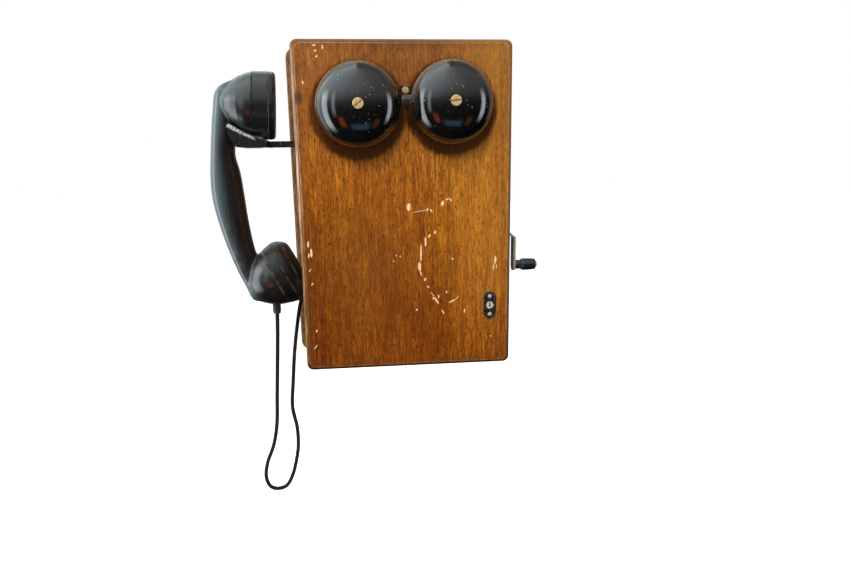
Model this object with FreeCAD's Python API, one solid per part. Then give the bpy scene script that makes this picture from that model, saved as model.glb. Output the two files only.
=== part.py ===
# Wall-mounted magneto telephone in a wooden case, millimetres.
# Frame: origin at the centre of the backboard's wall face, +Z up, +Y into the wall. The door and
# gongs face -Y, the handset hangs on the left (-X) side, the crank is on the right (+X) side.
import FreeCAD, Part
import math
import os
from FreeCAD import Vector

os.makedirs("parts", exist_ok=True)

X, Y, Z = Vector(1, 0, 0), Vector(0, 1, 0), Vector(0, 0, 1)
SIDES = (-1, 1)

# ------------------------------------------------------------------ shared dimensions
BACK_WIDTH, BACK_HEIGHT, BACK_THICK = 220.0, 311.0, 16.0      # backboard
CASE_WIDTH, CASE_HEIGHT, BOARD = 182.0, 281.0, 10.0           # box of four boards
DOOR_WIDTH, DOOR_HEIGHT, DOOR_THICK = 192.0, 293.0, 19.0
DOOR_FRONT = -113.5                                           # y of the door's front face
DOOR_BACK = DOOR_FRONT + DOOR_THICK
DOOR_GAP = 0.5                                                # door back to case front
CASE_FRONT = DOOR_BACK + DOOR_GAP
CASE_BACK = -BACK_THICK
OUTER_X, OUTER_Z = CASE_WIDTH / 2, CASE_HEIGHT / 2            # outer faces of the case
INNER_X, INNER_Z = OUTER_X - BOARD, OUTER_Z - BOARD           # inner faces of the case

RUN = 0.05                                                    # radial running clearance
PRESS = 0.02                                                  # radial clearance of a tight fit

WOOD_HEAD_R, WOOD_HEAD_T = 2.4, 1.2                           # common wood screw
WOOD_SHANK_R, WOOD_SHANK = 1.3, 8.0
WOOD_HOLE_R = WOOD_SHANK_R + 0.05

PIVOT_X, PIVOT_Y, PIVOT_Z = 0.9, -84.0, 94.0                  # clapper pivot (axis Z)
HANDSET_Y = -54.0                                             # handset centre plane
CORD_R = 2.5


# ------------------------------------------------------------------ helpers
def around(centre, half):
    """Span of twice half, centred on centre."""
    return (centre - half, centre + half)


def box(x_span, y_span, z_span):
    """Box between the low and high ends of three spans."""
    low, high = zip(x_span, y_span, z_span)
    size = [b - a for a, b in zip(low, high)]
    return Part.makeBox(*size, Vector(*low))


def cylinder(start, axis, radius, length):
    return Part.makeCylinder(radius, length, Vector(*start), axis)


def drill(mouth, axis, radius, depth, lead=1.0):
    """Cutter for a hole of the given depth from mouth; it starts lead before the mouth."""
    return Part.makeCylinder(radius, depth + lead, Vector(*mouth) - axis * lead, axis)


def polygon_face(points):
    return Part.Face(Part.makePolygon(points + [points[0]]))


def prism(points, sweep):
    return polygon_face([Vector(*p) for p in points]).extrude(sweep)


def cut(shape, *tools):
    for tool in tools:
        shape = shape.cut(tool)
    return shape


def fuse(shape, *others):
    for other in others:
        shape = shape.fuse(other)
    return shape.removeSplitter()


def edges_at(shape, axis, place):
    """Edges whose vertices all lie in the plane axis = place."""
    return [e for e in shape.Edges
            if all(abs(getattr(v.Point, axis) - place) < 1e-6 for v in e.Vertexes)]


def reach(edge, axis):
    """Distance between an edge's end points along one axis."""
    return abs(getattr(edge.Vertexes[0].Point, axis) - getattr(edge.Vertexes[-1].Point, axis))


def rounded_plate(width, height, corner, y_span):
    """Plate centred on the Y axis with rounded corners, thickness along Y."""
    plate = box(around(0, width / 2), y_span, around(0, height / 2))
    return plate.makeFillet(corner, [e for e in plate.Edges if reach(e, "y") > 1e-6])


def screw(seat, out, head, shank, slot, slot_dir):
    """Slotted screw: seat is the middle of the head's underside, out points out of the head.

    head is (radius, thickness), shank is (radius, length), slot is (width, depth).
    """
    seat = Vector(*seat)
    head_r, head_t = head
    shank_r, shank_l = shank
    slot_w, slot_d = slot
    body = fuse(Part.makeCylinder(head_r, head_t, seat, out),
                Part.makeCylinder(shank_r, shank_l + 0.5, seat - out * shank_l, out))
    rim = [e for e in body.Edges if e.Closed and abs(e.Curve.Radius - head_r) < 1e-6
           and (e.CenterOfMass - seat).dot(out) > head_t / 2]
    body = body.makeFillet(min(0.35 * head_t, 0.6), rim)
    along = Vector(*slot_dir)
    along.normalize()
    across = out.cross(along) * (slot_w / 2)
    along = along * (head_r + 1)
    floor = seat + out * (head_t - slot_d)
    corners = [floor - along - across, floor + along - across,
               floor + along + across, floor - along + across]
    return body.cut(prism(corners, out * (slot_d + 2)))


def wood_screw(seat, out, slot_dir, shank=WOOD_SHANK):
    return screw(seat, out, head=(WOOD_HEAD_R, WOOD_HEAD_T), shank=(WOOD_SHANK_R, shank),
                 slot=(0.6, 0.6), slot_dir=slot_dir)


def save(name, *shapes):
    """Write one STEP file holding every solid of the shapes."""
    solids = [solid for shape in shapes for solid in shape.Solids]
    piece = solids[0] if len(solids) == 1 else Part.makeCompound(solids)
    piece.exportStep("parts/%s.step" % name)


# Cutters and screws gathered by the sections below; the boards are cut at the end.
backboard_cuts, left_cuts, right_cuts, shelf_cuts, door_cuts = [], [], [], [], []
case_screws, door_screws, brass_screws = [], [], []

# ------------------------------------------------------------------ hinges
HINGE_X, HINGE_Y = -93.7, -92.0                               # hinge axis
HINGE_Z, HINGE_LENGTH = 92.0, 50.0                            # centres at +-Z, leaf length
LEAF_T = 1.3
LEAF_LIP = 1.0                                                # leaf edge beyond the axis
CASE_LEAF, DOOR_LEAF = 17.0, 15.0                             # axis to the leaf's far edge
LEAF_FIT = 0.05                                               # gap round a leaf in its recess
KNUCKLE_R, HINGE_PIN_R = 2.2, 1.2
KNUCKLE_HALF, KNUCKLE_GAP = 10.0, 0.3                         # middle knuckle, gap to the others
HINGE_SCREW = 16.0                                            # screws at +- this from centre


def case_leaf(centre, ends, pin_hole):
    """Leaf flush in the outer face of the left board, with the two end knuckles."""
    bottom, top = ends
    inner = KNUCKLE_HALF + KNUCKLE_GAP
    additions = []
    for low, high in ((bottom, centre - inner), (centre + inner, top)):
        additions.append(cylinder((HINGE_X, HINGE_Y, low), Z, KNUCKLE_R, high - low))
        additions.append(box((HINGE_X, -OUTER_X + 0.5), around(HINGE_Y, LEAF_LIP), (low, high)))
    leaf = fuse(box((-OUTER_X, -OUTER_X + LEAF_T),
                    (HINGE_Y - LEAF_LIP, HINGE_Y + CASE_LEAF), ends), *additions).cut(pin_hole)
    left_cuts.append(box((-OUTER_X - 0.2, -OUTER_X + LEAF_T + 0.02),
                         (HINGE_Y - LEAF_LIP - LEAF_FIT, HINGE_Y + CASE_LEAF + LEAF_FIT),
                         (bottom - LEAF_FIT, top + LEAF_FIT)))
    for offset in (-HINGE_SCREW, HINGE_SCREW):
        y, z = HINGE_Y + 10.5, centre + offset
        mouth = (-OUTER_X, y, z)
        leaf = cut(leaf, drill(mouth, X, WOOD_HEAD_R + 0.05, WOOD_HEAD_T),
                   drill(mouth, X, WOOD_HOLE_R, 3.9))
        left_cuts.append(drill(mouth, X, WOOD_HOLE_R, WOOD_SHANK + 1.3))
        case_screws.append(wood_screw((-OUTER_X + WOOD_HEAD_T, y, z), -X, (0, 1, 0.4)))
    return leaf


def door_leaf(centre, ends, pin_hole):
    """Leaf flush in the door's back face, with the middle knuckle."""
    bottom, top = ends
    middle = around(centre, KNUCKLE_HALF)
    leaf = fuse(box((HINGE_X - LEAF_LIP, HINGE_X + DOOR_LEAF), (DOOR_BACK - LEAF_T, DOOR_BACK), ends),
                cylinder((HINGE_X, HINGE_Y, middle[0]), Z, KNUCKLE_R, 2 * KNUCKLE_HALF),
                box(around(HINGE_X, LEAF_LIP), (DOOR_BACK - 0.5, HINGE_Y - 0.8), middle))
    leaf = leaf.cut(pin_hole)
    door_cuts.append(box((HINGE_X - LEAF_LIP - LEAF_FIT, HINGE_X + DOOR_LEAF + LEAF_FIT),
                         (DOOR_BACK - LEAF_T - 0.02, DOOR_BACK + 0.2),
                         (bottom - LEAF_FIT, top + LEAF_FIT)))
    for offset in (-HINGE_SCREW, HINGE_SCREW):
        x, z = HINGE_X + 9.0, centre + offset
        mouth = (x, DOOR_BACK, z)
        leaf = cut(leaf, drill(mouth, -Y, WOOD_HEAD_R + 0.05, WOOD_HEAD_T),
                   drill(mouth, -Y, WOOD_HOLE_R, 3.9))
        door_cuts.append(drill(mouth, -Y, WOOD_HOLE_R, WOOD_SHANK + 1.3))
        door_screws.append(wood_screw((x, DOOR_BACK - WOOD_HEAD_T, z), Y, (1, 0, 0.3)))
    return leaf


case_leaves, door_leaves, hinge_pins = [], [], []
for side in SIDES:
    hinge_centre = side * HINGE_Z
    hinge_ends = around(hinge_centre, HINGE_LENGTH / 2)
    pin_hole = drill((HINGE_X, HINGE_Y, hinge_ends[0]), Z, HINGE_PIN_R + RUN, HINGE_LENGTH + 1)
    case_leaves.append(case_leaf(hinge_centre, hinge_ends, pin_hole))
    door_leaves.append(door_leaf(hinge_centre, hinge_ends, pin_hole))
    hinge_pins.append(fuse(
        cylinder((HINGE_X, HINGE_Y, hinge_ends[0] - 0.2), Z, HINGE_PIN_R, HINGE_LENGTH + 0.8),
        cylinder((HINGE_X, HINGE_Y, hinge_ends[1] + 0.2), Z, 2.0, 1.6)))
save("hinge_case_leaves", *case_leaves)
save("hinge_door_leaves", *door_leaves)
save("hinge_pins", *hinge_pins)

# ------------------------------------------------------------------ gongs, posts, screws
# name, centre x, centre z, radius, slot direction of the screw
GONGS = [("left", -40.0, 91.0, 36.6, (1, 0, 0.75)),
         ("right", 41.0, 92.8, 36.0, (1, 0, 0.12))]
GONG_HEIGHT, GONG_WALL = 26.5, 1.7
GONG_RIM_Y = DOOR_FRONT - 5.0                                 # the rims stand off the door
GONG_CROWN_Y = GONG_RIM_Y - GONG_HEIGHT
GONG_POWER = 2.35                                             # superellipse exponent of the dome
POST_PEG = 9.0                                                # depth of the post's peg in the door


def dome_curve(x, z, radius, height):
    """Quarter superellipse from the rim to the crown, as (points, edge)."""
    points = []
    for i in range(13):
        t = math.pi / 2 * i / 12.0
        points.append(Vector(x + radius * math.cos(t) ** (2.0 / GONG_POWER),
                             GONG_RIM_Y - height * math.sin(t) ** (2.0 / GONG_POWER), z))
    curve = Part.BSplineCurve()
    curve.interpolate(points)
    return points, curve.toShape()


def gong(x, z, radius):
    outer, outer_edge = dome_curve(x, z, radius, GONG_HEIGHT)
    inner, inner_edge = dome_curve(x, z, radius - GONG_WALL, GONG_HEIGHT - GONG_WALL)
    wire = Part.Wire([outer_edge, Part.makeLine(outer[-1], inner[-1]),
                      inner_edge, Part.makeLine(inner[0], outer[0])])
    dome = Part.Face(wire).revolve(Vector(x, 0, z), Y, 360)
    return dome.cut(drill((x, GONG_CROWN_Y, z), Y, 2.5, 6))


def gong_post(x, z):
    inner_crown = GONG_CROWN_Y + GONG_WALL
    post = fuse(cylinder((x, DOOR_FRONT, z), -Y, 5.0, DOOR_FRONT - inner_crown - 0.35),
                cylinder((x, DOOR_FRONT + POST_PEG, z), -Y, 3.0, POST_PEG + 1),
                cylinder((x, DOOR_FRONT, z), -Y, 8.0, 2.0))
    return post.cut(drill((x, inner_crown, z), Y, 2.25, 13))


gong_posts = []
for name, x, z, radius, slot_dir in GONGS:
    save("gong_" + name, gong(x, z, radius))
    gong_posts.append(gong_post(x, z))
    door_cuts.append(drill((x, DOOR_FRONT, z), Y, 3.05, POST_PEG + 0.2))
    brass_screws.append(screw((x, GONG_CROWN_Y, z), -Y, head=(4.5, 2.4), shank=(2.2, 12),
                              slot=(1.4, 1.5), slot_dir=slot_dir))
save("gong_posts", *gong_posts)

# ------------------------------------------------------------------ hammer guard
# small lug above the clapper head, held by one brass screw sunk in its front
GUARD_X, GUARD_Z, GUARD_DEPTH = 0.7, 103.4, 9.5
GUARD_FRONT = DOOR_FRONT - GUARD_DEPTH
GUARD_SINK = 1.1                                              # depth of the screw head's seat
GUARD_HOLE_R = 1.65


def hammer_guard():
    lug = box(around(GUARD_X, 4.2), (GUARD_FRONT, DOOR_FRONT), (GUARD_Z - 4.6, GUARD_Z + 4.2))
    lug = lug.makeFillet(1.2, edges_at(lug, "y", GUARD_FRONT))
    mouth = (GUARD_X, GUARD_FRONT, GUARD_Z)
    return cut(lug, drill(mouth, Y, GUARD_HOLE_R, GUARD_DEPTH), drill(mouth, Y, 2.9, GUARD_SINK))


save("hammer_guard", hammer_guard())
brass_screws.append(screw((GUARD_X, GUARD_FRONT + GUARD_SINK, GUARD_Z), -Y, head=(2.8, 1.9),
                          shank=(1.6, 14), slot=(0.9, 1.1), slot_dir=(0.35, 0, 1)))
door_cuts.append(drill((GUARD_X, DOOR_FRONT, GUARD_Z), Y, GUARD_HOLE_R, 6.1))
save("front_brass_screws", *brass_screws)

# ------------------------------------------------------------------ ringer, inside the door
FRAME_X, FRAME_T = 27.0, 2.0                                  # half width, plate thickness
YOKE_FRONT, YOKE_BACK = -47.0, -43.0
CORE_X = around(PIVOT_X, 13.5)                                # x of the two coil cores
CORE_FRONT, CORE_R, CORE_STUD_R = -81.3, 4.0, 2.0
ARBOR_R = 1.5                                                 # clapper pivot


def ringer_frame():
    """Plate on the door's back with pivot ears, side arms and a yoke across the arms."""
    plate = box(around(PIVOT_X, FRAME_X), (DOOR_BACK, DOOR_BACK + FRAME_T), around(PIVOT_Z, 17))
    plate = plate.cut(box(around(PIVOT_X, 7), (DOOR_BACK - 1, DOOR_BACK + 3), around(PIVOT_Z, 6)))
    additions = []
    for side in SIDES:
        additions.append(box(around(PIVOT_X, 4), (DOOR_BACK + 1.5, PIVOT_Y + 4.5),
                             around(PIVOT_Z + side * 9.2, 1.2)))
        additions.append(box(around(PIVOT_X + side * (FRAME_X - 1.5), 1.5),
                             (DOOR_BACK + 1.0, YOKE_FRONT), around(PIVOT_Z, 7)))
    yoke = box(around(PIVOT_X, FRAME_X), (YOKE_FRONT, YOKE_BACK), around(PIVOT_Z, 9))
    frame = fuse(plate, *additions, yoke)
    frame = frame.cut(cylinder((PIVOT_X, PIVOT_Y, PIVOT_Z - 12), Z, ARBOR_R + RUN, 24))
    for x in CORE_X:
        frame = frame.cut(drill((x, YOKE_FRONT, PIVOT_Z), Y, CORE_STUD_R + 0.05, 7))
    for side_x in SIDES:
        for side_z in SIDES:
            x, z = PIVOT_X + side_x * 16.0, PIVOT_Z + side_z * 12.5
            seat = (x, DOOR_BACK + FRAME_T, z)
            frame = frame.cut(drill(seat, -Y, WOOD_HOLE_R, 5))
            door_cuts.append(drill((x, DOOR_BACK, z), -Y, WOOD_HOLE_R, WOOD_SHANK + 0.3))
            door_screws.append(wood_screw(seat, Y, (1, 0, -0.4), WOOD_SHANK + 1.0))
    return frame


def ringer_core(x):
    return fuse(cylinder((x, CORE_FRONT, PIVOT_Z), Y, CORE_R, YOKE_FRONT - CORE_FRONT - RUN),
                cylinder((x, -50, PIVOT_Z), Y, CORE_STUD_R, 8.5))


def ringer_coil(x):
    """Coil with an end flange left at each side of a shallow ring cut."""
    ring = cylinder((x, -75, PIVOT_Z), Y, 9.9, 24.0).cut(cylinder((x, -75, PIVOT_Z), Y, 9.0, 24.0))
    return cut(cylinder((x, -77.0, PIVOT_Z), Y, 9.8, 28.0), ring,
               cylinder((x, -78, PIVOT_Z), Y, CORE_R + 0.05, 30))


def ringer_magnet():
    """Flat bar bent to an L: up behind the yoke, then forward above the coils."""
    thick, top = 4.0, PIVOT_Z + 17.5
    x, front, bottom = PIVOT_X - 5, YOKE_BACK + 0.1, PIVOT_Z - 2
    return prism([(x, front, bottom), (x, front + thick, bottom), (x, front + thick, top),
                  (x, PIVOT_Y, top), (x, PIVOT_Y, top - thick), (x, front, top - thick)], X * 10)


save("ringer_frame", ringer_frame())
save("ringer_cores", *[ringer_core(x) for x in CORE_X])
save("ringer_coils", *[ringer_coil(x) for x in CORE_X])
save("ringer_magnet", ringer_magnet())

# ------------------------------------------------------------------ clapper
HEAD_Y, HEAD_R, HEAD_LENGTH = -133.0, 4.6, 9.4                # head (axis X)
ROD_R, ROD_SOCKET_R = 1.25, 1.3
HUB_R = 3.0


def ringer_armature():
    bar = fuse(box(around(PIVOT_X, 19), around(PIVOT_Y, 1.5), around(PIVOT_Z, 4.5)),
               cylinder((PIVOT_X, PIVOT_Y, PIVOT_Z - 7.6), Z, HUB_R, 15.2),
               cylinder((PIVOT_X, PIVOT_Y, PIVOT_Z - 11.5), Z, ARBOR_R, 23.0))
    return bar.cut(drill((PIVOT_X, PIVOT_Y - HUB_R, PIVOT_Z), Y, ROD_SOCKET_R, HUB_R))


def hammer_head():
    head = cylinder((PIVOT_X - HEAD_LENGTH / 2, HEAD_Y, PIVOT_Z), X, HEAD_R, HEAD_LENGTH)
    head = head.makeFillet(1.2, [e for e in head.Edges if e.Closed])
    return head.cut(cylinder((PIVOT_X, HEAD_Y + 1.8, PIVOT_Z), Y, ROD_SOCKET_R, 6))


rod_front = HEAD_Y + 2.0
save("ringer_armature", ringer_armature())
save("hammer_rod",
     cylinder((PIVOT_X, rod_front, PIVOT_Z), Y, ROD_R, PIVOT_Y - 0.1 - rod_front))
save("hammer_head", hammer_head())
door_cuts.append(drill((PIVOT_X, DOOR_FRONT, PIVOT_Z), Y, 4.0, DOOR_THICK + 1))

# ------------------------------------------------------------------ lock
LOCK_X, LOCK_Z, LOCK_R = 76.5, -89.3, 3.3                     # barrel (axis Y)
LOCK_PLATE_R, LOCK_PLATE_T = 6.2, 1.6
LOCK_PLATE_HALF = 6.55                                        # centre to each round end's centre
LOCK_SCREW_Z, LOCK_SCREW_R = 8.6, 0.9                         # screws at +-Z from the barrel
LOCK_SINK = 0.8


def lock_plate():
    """Plate with round ends; also drills the door and makes the screws."""
    front = DOOR_FRONT - LOCK_PLATE_T
    plate = fuse(
        box(around(LOCK_X, LOCK_PLATE_R), (front, DOOR_FRONT), around(LOCK_Z, LOCK_PLATE_HALF)),
        *[cylinder((LOCK_X, DOOR_FRONT, LOCK_Z + side * LOCK_PLATE_HALF), -Y,
                   LOCK_PLATE_R, LOCK_PLATE_T) for side in SIDES])
    plate = plate.makeFillet(0.6, edges_at(plate, "y", front))
    plate = plate.cut(drill((LOCK_X, front, LOCK_Z), Y, LOCK_R + RUN, 3))
    screws = []
    for side in SIDES:
        z = LOCK_Z + side * LOCK_SCREW_Z
        plate = cut(plate, drill((LOCK_X, front, z), Y, LOCK_SCREW_R + 0.05, 3),
                    drill((LOCK_X, front, z), Y, 1.75, LOCK_SINK))
        door_cuts.append(drill((LOCK_X, DOOR_FRONT, z), Y, LOCK_SCREW_R + 0.05, 6.5))
        screws.append(screw((LOCK_X, front + LOCK_SINK, z), -Y, head=(1.7, 0.9),
                            shank=(LOCK_SCREW_R, 6.0), slot=(0.45, 0.4),
                            slot_dir=(1, 0, 0.5 * side)))
    return plate, screws


def lock_barrel():
    """Barrel with a key slot in front and a tongue hanging down behind the door."""
    back = DOOR_BACK + 2.0
    barrel = cylinder((LOCK_X, back, LOCK_Z), -Y, LOCK_R, DOOR_THICK + 2.0 + 1.9)
    barrel = barrel.cut(box(around(LOCK_X, 0.7), around(DOOR_FRONT, 3), around(LOCK_Z, 2.1)))
    return fuse(barrel, box(around(LOCK_X, 3), (back, back + 2), (LOCK_Z - 10.5, LOCK_Z + 3)))


door_cuts.append(drill((LOCK_X, DOOR_FRONT, LOCK_Z), Y, LOCK_R + RUN, DOOR_THICK + 1))
plate, lock_screws = lock_plate()
save("lock_plate", plate)
save("lock_plate_screws", *lock_screws)
save("lock_barrel", lock_barrel())
# mortise in the right board that takes the turned tongue
right_cuts.append(box((INNER_X - 0.1, INNER_X + 7.5), (DOOR_BACK + 1.2, DOOR_BACK + 4.8),
                      (LOCK_Z - 11.5, LOCK_Z + 4.0)))

# ------------------------------------------------------------------ generator (magneto)
SHAFT_Y, SHAFT_Z, SHAFT_R = -60.0, -14.0, 4.0                 # crank shaft axis (X)
SHAFT_X = 0.5                                                 # left end of both shafts
MODULE, GEAR_TEETH, PINION_TEETH = 0.9, 65, 13
ARMATURE_Z = SHAFT_Z - MODULE * (GEAR_TEETH + PINION_TEETH) / 2.0
ARMATURE_R, ARMATURE_SHAFT_R = 14.0, 3.0
SHELF_Z, SHELF_T = ARMATURE_Z - 19.0, 8.0                     # top of the shelf, thickness
END_LEFT, END_RIGHT, END_T = 6.0, 63.0, 3.0                   # end plates' inner faces, thickness
END_HALF = 19.0                                               # half depth of plates and poles
FOOT, FOOT_T = 11.0, 2.5


def end_plate(inner, side):
    """Upright plate with a foot turned away from the armature, screwed to the shelf."""
    x_span = sorted((inner, inner + side * END_T))
    outer = inner + side * END_T
    y_span = around(SHAFT_Y, END_HALF)
    top = SHAFT_Z + 9
    plate = fuse(box(x_span, y_span, (SHELF_Z, top)),
                 box(sorted((outer, outer + side * FOOT)), y_span, (SHELF_Z, SHELF_Z + FOOT_T)))
    plate = plate.makeFillet(6.0, [e for e in edges_at(plate, "z", top) if reach(e, "x") > 1])
    plate = cut(plate, drill((x_span[0], SHAFT_Y, SHAFT_Z), X, SHAFT_R + RUN, END_T + 1),
                drill((x_span[0], SHAFT_Y, ARMATURE_Z), X, ARMATURE_SHAFT_R + RUN, END_T + 1))
    x = outer + side * FOOT / 2.0
    for side_y in SIDES:
        y = SHAFT_Y + side_y * 14
        plate = plate.cut(drill((x, y, SHELF_Z), Z, WOOD_HOLE_R, 4))
        shelf_cuts.append(drill((x, y, SHELF_Z), -Z, WOOD_HOLE_R, 7))
        case_screws.append(wood_screw((x, y, SHELF_Z + FOOT_T), Z, (1, 0.5, 0), WOOD_SHANK + 1.0))
    return plate


def pole_piece(side):
    block = box((END_LEFT + 0.1, END_RIGHT - 0.1),
                sorted((SHAFT_Y + side * 2.5, SHAFT_Y + side * END_HALF)),
                (SHELF_Z, ARMATURE_Z + 15.0))
    return block.cut(cylinder((END_LEFT - 1, SHAFT_Y, ARMATURE_Z), X, ARMATURE_R + 0.4, 70))


def horseshoe(x):
    """Horseshoe magnet 16 wide, standing over the pole pieces."""
    foot, bend = SHELF_Z + 1.0, SHAFT_Z + 2.0

    def corners(radius):
        places = [(-radius, foot), (-radius, bend), (0, bend + radius), (radius, bend), (radius, foot)]
        return [Vector(x, SHAFT_Y + y, z) for y, z in places]

    outer, inner = corners(29.0), corners(19.1)
    line = Part.makeLine
    wire = Part.Wire([line(outer[0], outer[1]), Part.Arc(*outer[1:4]).toShape(),
                      line(outer[3], outer[4]), line(outer[4], inner[4]),
                      line(inner[4], inner[3]), Part.Arc(*inner[3:0:-1]).toShape(),
                      line(inner[1], inner[0]), line(inner[0], outer[0])])
    return Part.Face(wire).extrude(X * 16)


save("generator_end_plate_right", end_plate(END_RIGHT, 1))
save("generator_end_plate_left", end_plate(END_LEFT, -1))
save("generator_pole_pieces", *[pole_piece(side) for side in SIDES])
save("generator_magnets", *[horseshoe(x) for x in (8.0, 26.0, 44.0)])
shelf = box((-30.0, INNER_X), (CASE_FRONT + 8.0, CASE_BACK), (SHELF_Z - SHELF_T, SHELF_Z))
save("generator_shelf", cut(shelf, *shelf_cuts))

# ------------------------------------------------------------------ gears
GEAR_X = (68.0, 72.0)                                         # faces of the drive gear
PRESSURE_ANGLE = math.radians(25.0)
ADDENDUM, DEDENDUM = 0.80 * MODULE, 1.05 * MODULE             # stub addendum
BACKLASH = 0.10


def involute(angle):
    return math.tan(angle) - angle


def gear(teeth, x_span, bore, axis_z, phase):
    """Spur gear about the X direction; phase is the angle of its first tooth from +Y."""
    pitch_r = MODULE * teeth / 2.0
    base_r = pitch_r * math.cos(PRESSURE_ANGLE)
    tip_r, root_r = pitch_r + ADDENDUM, pitch_r - DEDENDUM
    start_r = max(base_r, root_r)
    # half tooth angle at the pitch circle, thinned for backlash
    half_tooth = math.pi / (2 * teeth) - BACKLASH / (2 * pitch_r)
    flank = []
    for i in range(5):
        r = start_r + (tip_r - start_r) * i / 4.0
        pressure = math.acos(min(1.0, base_r / r))
        flank.append((r, half_tooth + involute(PRESSURE_ANGLE) - involute(pressure)))
    if root_r < base_r:
        flank.insert(0, (root_r, flank[0][1]))                # radial run below the base circle
    points = []
    for k in range(teeth):
        centre = phase + 2 * math.pi * k / teeth
        outline = [(r, centre - t) for r, t in flank] + [(r, centre + t) for r, t in reversed(flank)]
        points += [Vector(x_span[0], SHAFT_Y + r * math.cos(t), axis_z + r * math.sin(t))
                   for r, t in outline]
    width = x_span[1] - x_span[0]
    return polygon_face(points).extrude(X * width).cut(
        drill((x_span[0], SHAFT_Y, axis_z), X, bore, width + 1))


def drive_gear():
    """Gear with five lightening holes and a hub on its right face."""
    wheel = gear(GEAR_TEETH, GEAR_X, SHAFT_R + PRESS, SHAFT_Z, -math.pi / 2)
    for k in range(5):
        angle = math.pi / 2 + 2 * math.pi * k / 5
        wheel = wheel.cut(drill((GEAR_X[0], SHAFT_Y + 17 * math.cos(angle),
                                 SHAFT_Z + 17 * math.sin(angle)), X, 6.0, 7))
    face = (GEAR_X[1], SHAFT_Y, SHAFT_Z)
    return fuse(wheel, cylinder(face, X, 8.0, 4.0).cut(drill(face, X, SHAFT_R + PRESS, 5)))


save("drive_gear", drive_gear())
save("generator_pinion",
     gear(PINION_TEETH, (GEAR_X[0] - 0.5, GEAR_X[1] + 0.5), ARMATURE_SHAFT_R + PRESS, ARMATURE_Z,
          math.pi / 2 + math.pi / PINION_TEETH))


# ------------------------------------------------------------------ generator armature
def generator_armature():
    """Shuttle core with a winding slot above and below, on its shaft."""
    core = cylinder((END_LEFT + 2, SHAFT_Y, ARMATURE_Z), X, ARMATURE_R, END_RIGHT - END_LEFT - 4)
    for side in SIDES:
        core = core.cut(box((END_LEFT + 1, END_RIGHT - 1), around(SHAFT_Y, 8),
                            around(ARMATURE_Z + side * 9.5, 6.0)))
    return fuse(core, cylinder((SHAFT_X, SHAFT_Y, ARMATURE_Z), X, ARMATURE_SHAFT_R, 75.5))


def generator_winding(side):
    block = box((END_LEFT + 3, END_RIGHT - 3), around(SHAFT_Y, 7.8),
                around(ARMATURE_Z + side * 8.1, 4.4))
    return block.common(cylinder((END_LEFT, SHAFT_Y, ARMATURE_Z), X, ARMATURE_R - 0.5, 60))


save("generator_armature", generator_armature())
save("generator_winding", *[generator_winding(side) for side in SIDES])

# ------------------------------------------------------------------ crank
SHOULDER_X, THREAD_R = 102.0, 2.5                             # shaft steps down here for the nut
BUSH_R, BUSH_FLANGE_R = 7.0, 11.0
KNOB_Z = SHAFT_Z - 46.8
CRANK_W, CRANK_T = 12.0, 2.4                                  # strip width and thickness
CRANK_HUB_X = 95.8                                            # strip's left face at the hub
CRANK_KNOB_X = 110.4                                          # same at the knob, clear of the board
CRANK_HUB_R = 7.0
SPINDLE_R, SPINDLE_HEAD_R = 2.0, 3.2
KNOB_X0, KNOB_X1 = CRANK_KNOB_X + CRANK_T + 0.4, 134.3
KNOB_PROFILE = [                                              # x, radius
    (KNOB_X0, 2.05), (KNOB_X0, 4.6), (KNOB_X0 + 5.4, 4.4), (KNOB_X0 + 6.4, 5.5),
    (KNOB_X0 + 8.4, 6.0), (KNOB_X1 - 5, 5.7), (KNOB_X1 - 1.0, 5.4), (KNOB_X1, 4.6),
    (KNOB_X1, 2.05)]


def on_shaft(x):
    return (x, SHAFT_Y, SHAFT_Z)


def on_knob(x):
    return (x, SHAFT_Y, KNOB_Z)


def crank_bushing():
    bush = fuse(cylinder(on_shaft(INNER_X), X, BUSH_R, BOARD),
                cylinder(on_shaft(OUTER_X), X, BUSH_FLANGE_R, 2.4))
    rim = [e for e in bush.Edges if e.Closed and abs(e.Curve.Radius - BUSH_FLANGE_R) < 1e-6
           and e.CenterOfMass.x > OUTER_X + 1]
    return bush.makeFillet(1.0, rim).cut(drill(on_shaft(INNER_X), X, SHAFT_R + RUN, 29))


def crank_arm():
    """Flat strip joggled outwards below the hub."""
    hub, knob = CRANK_HUB_X, CRANK_KNOB_X
    top, bottom = SHAFT_Z + 6, KNOB_Z - 6
    profile = [(hub, top), (hub, SHAFT_Z - 8), (knob, SHAFT_Z - 19), (knob, bottom),
               (knob + CRANK_T, bottom), (knob + CRANK_T, SHAFT_Z - 18.2),
               (hub + CRANK_T, SHAFT_Z - 7.2), (hub + CRANK_T, top)]
    arm = prism([(x, SHAFT_Y - CRANK_W / 2, z) for x, z in profile], Y * CRANK_W)
    ends = [e for e in arm.Edges if reach(e, "z") < 1e-6 and reach(e, "x") > 1]
    arm = fuse(arm.makeFillet(5.6, ends),
               cylinder(on_shaft(hub - 2.0), X, CRANK_HUB_R, 2.0 + 0.5),
               cylinder(on_shaft(hub + CRANK_T - 0.5), X, CRANK_HUB_R, 3.6 + 0.5))
    return cut(arm, drill(on_shaft(hub - 2.0), X, SHAFT_R + PRESS, 17),
               drill(on_knob(knob), X, SPINDLE_R + PRESS, 7),
               drill(on_knob(knob), X, SPINDLE_HEAD_R + PRESS, 1.0))


def crank_nut():
    corners = [(SHOULDER_X, SHAFT_Y + 5.0 * math.cos(math.pi / 3 * k),
                SHAFT_Z + 5.0 * math.sin(math.pi / 3 * k)) for k in range(6)]
    return prism(corners, X * 3.4).cut(drill(on_shaft(SHOULDER_X), X, THREAD_R + PRESS, 7))


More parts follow.
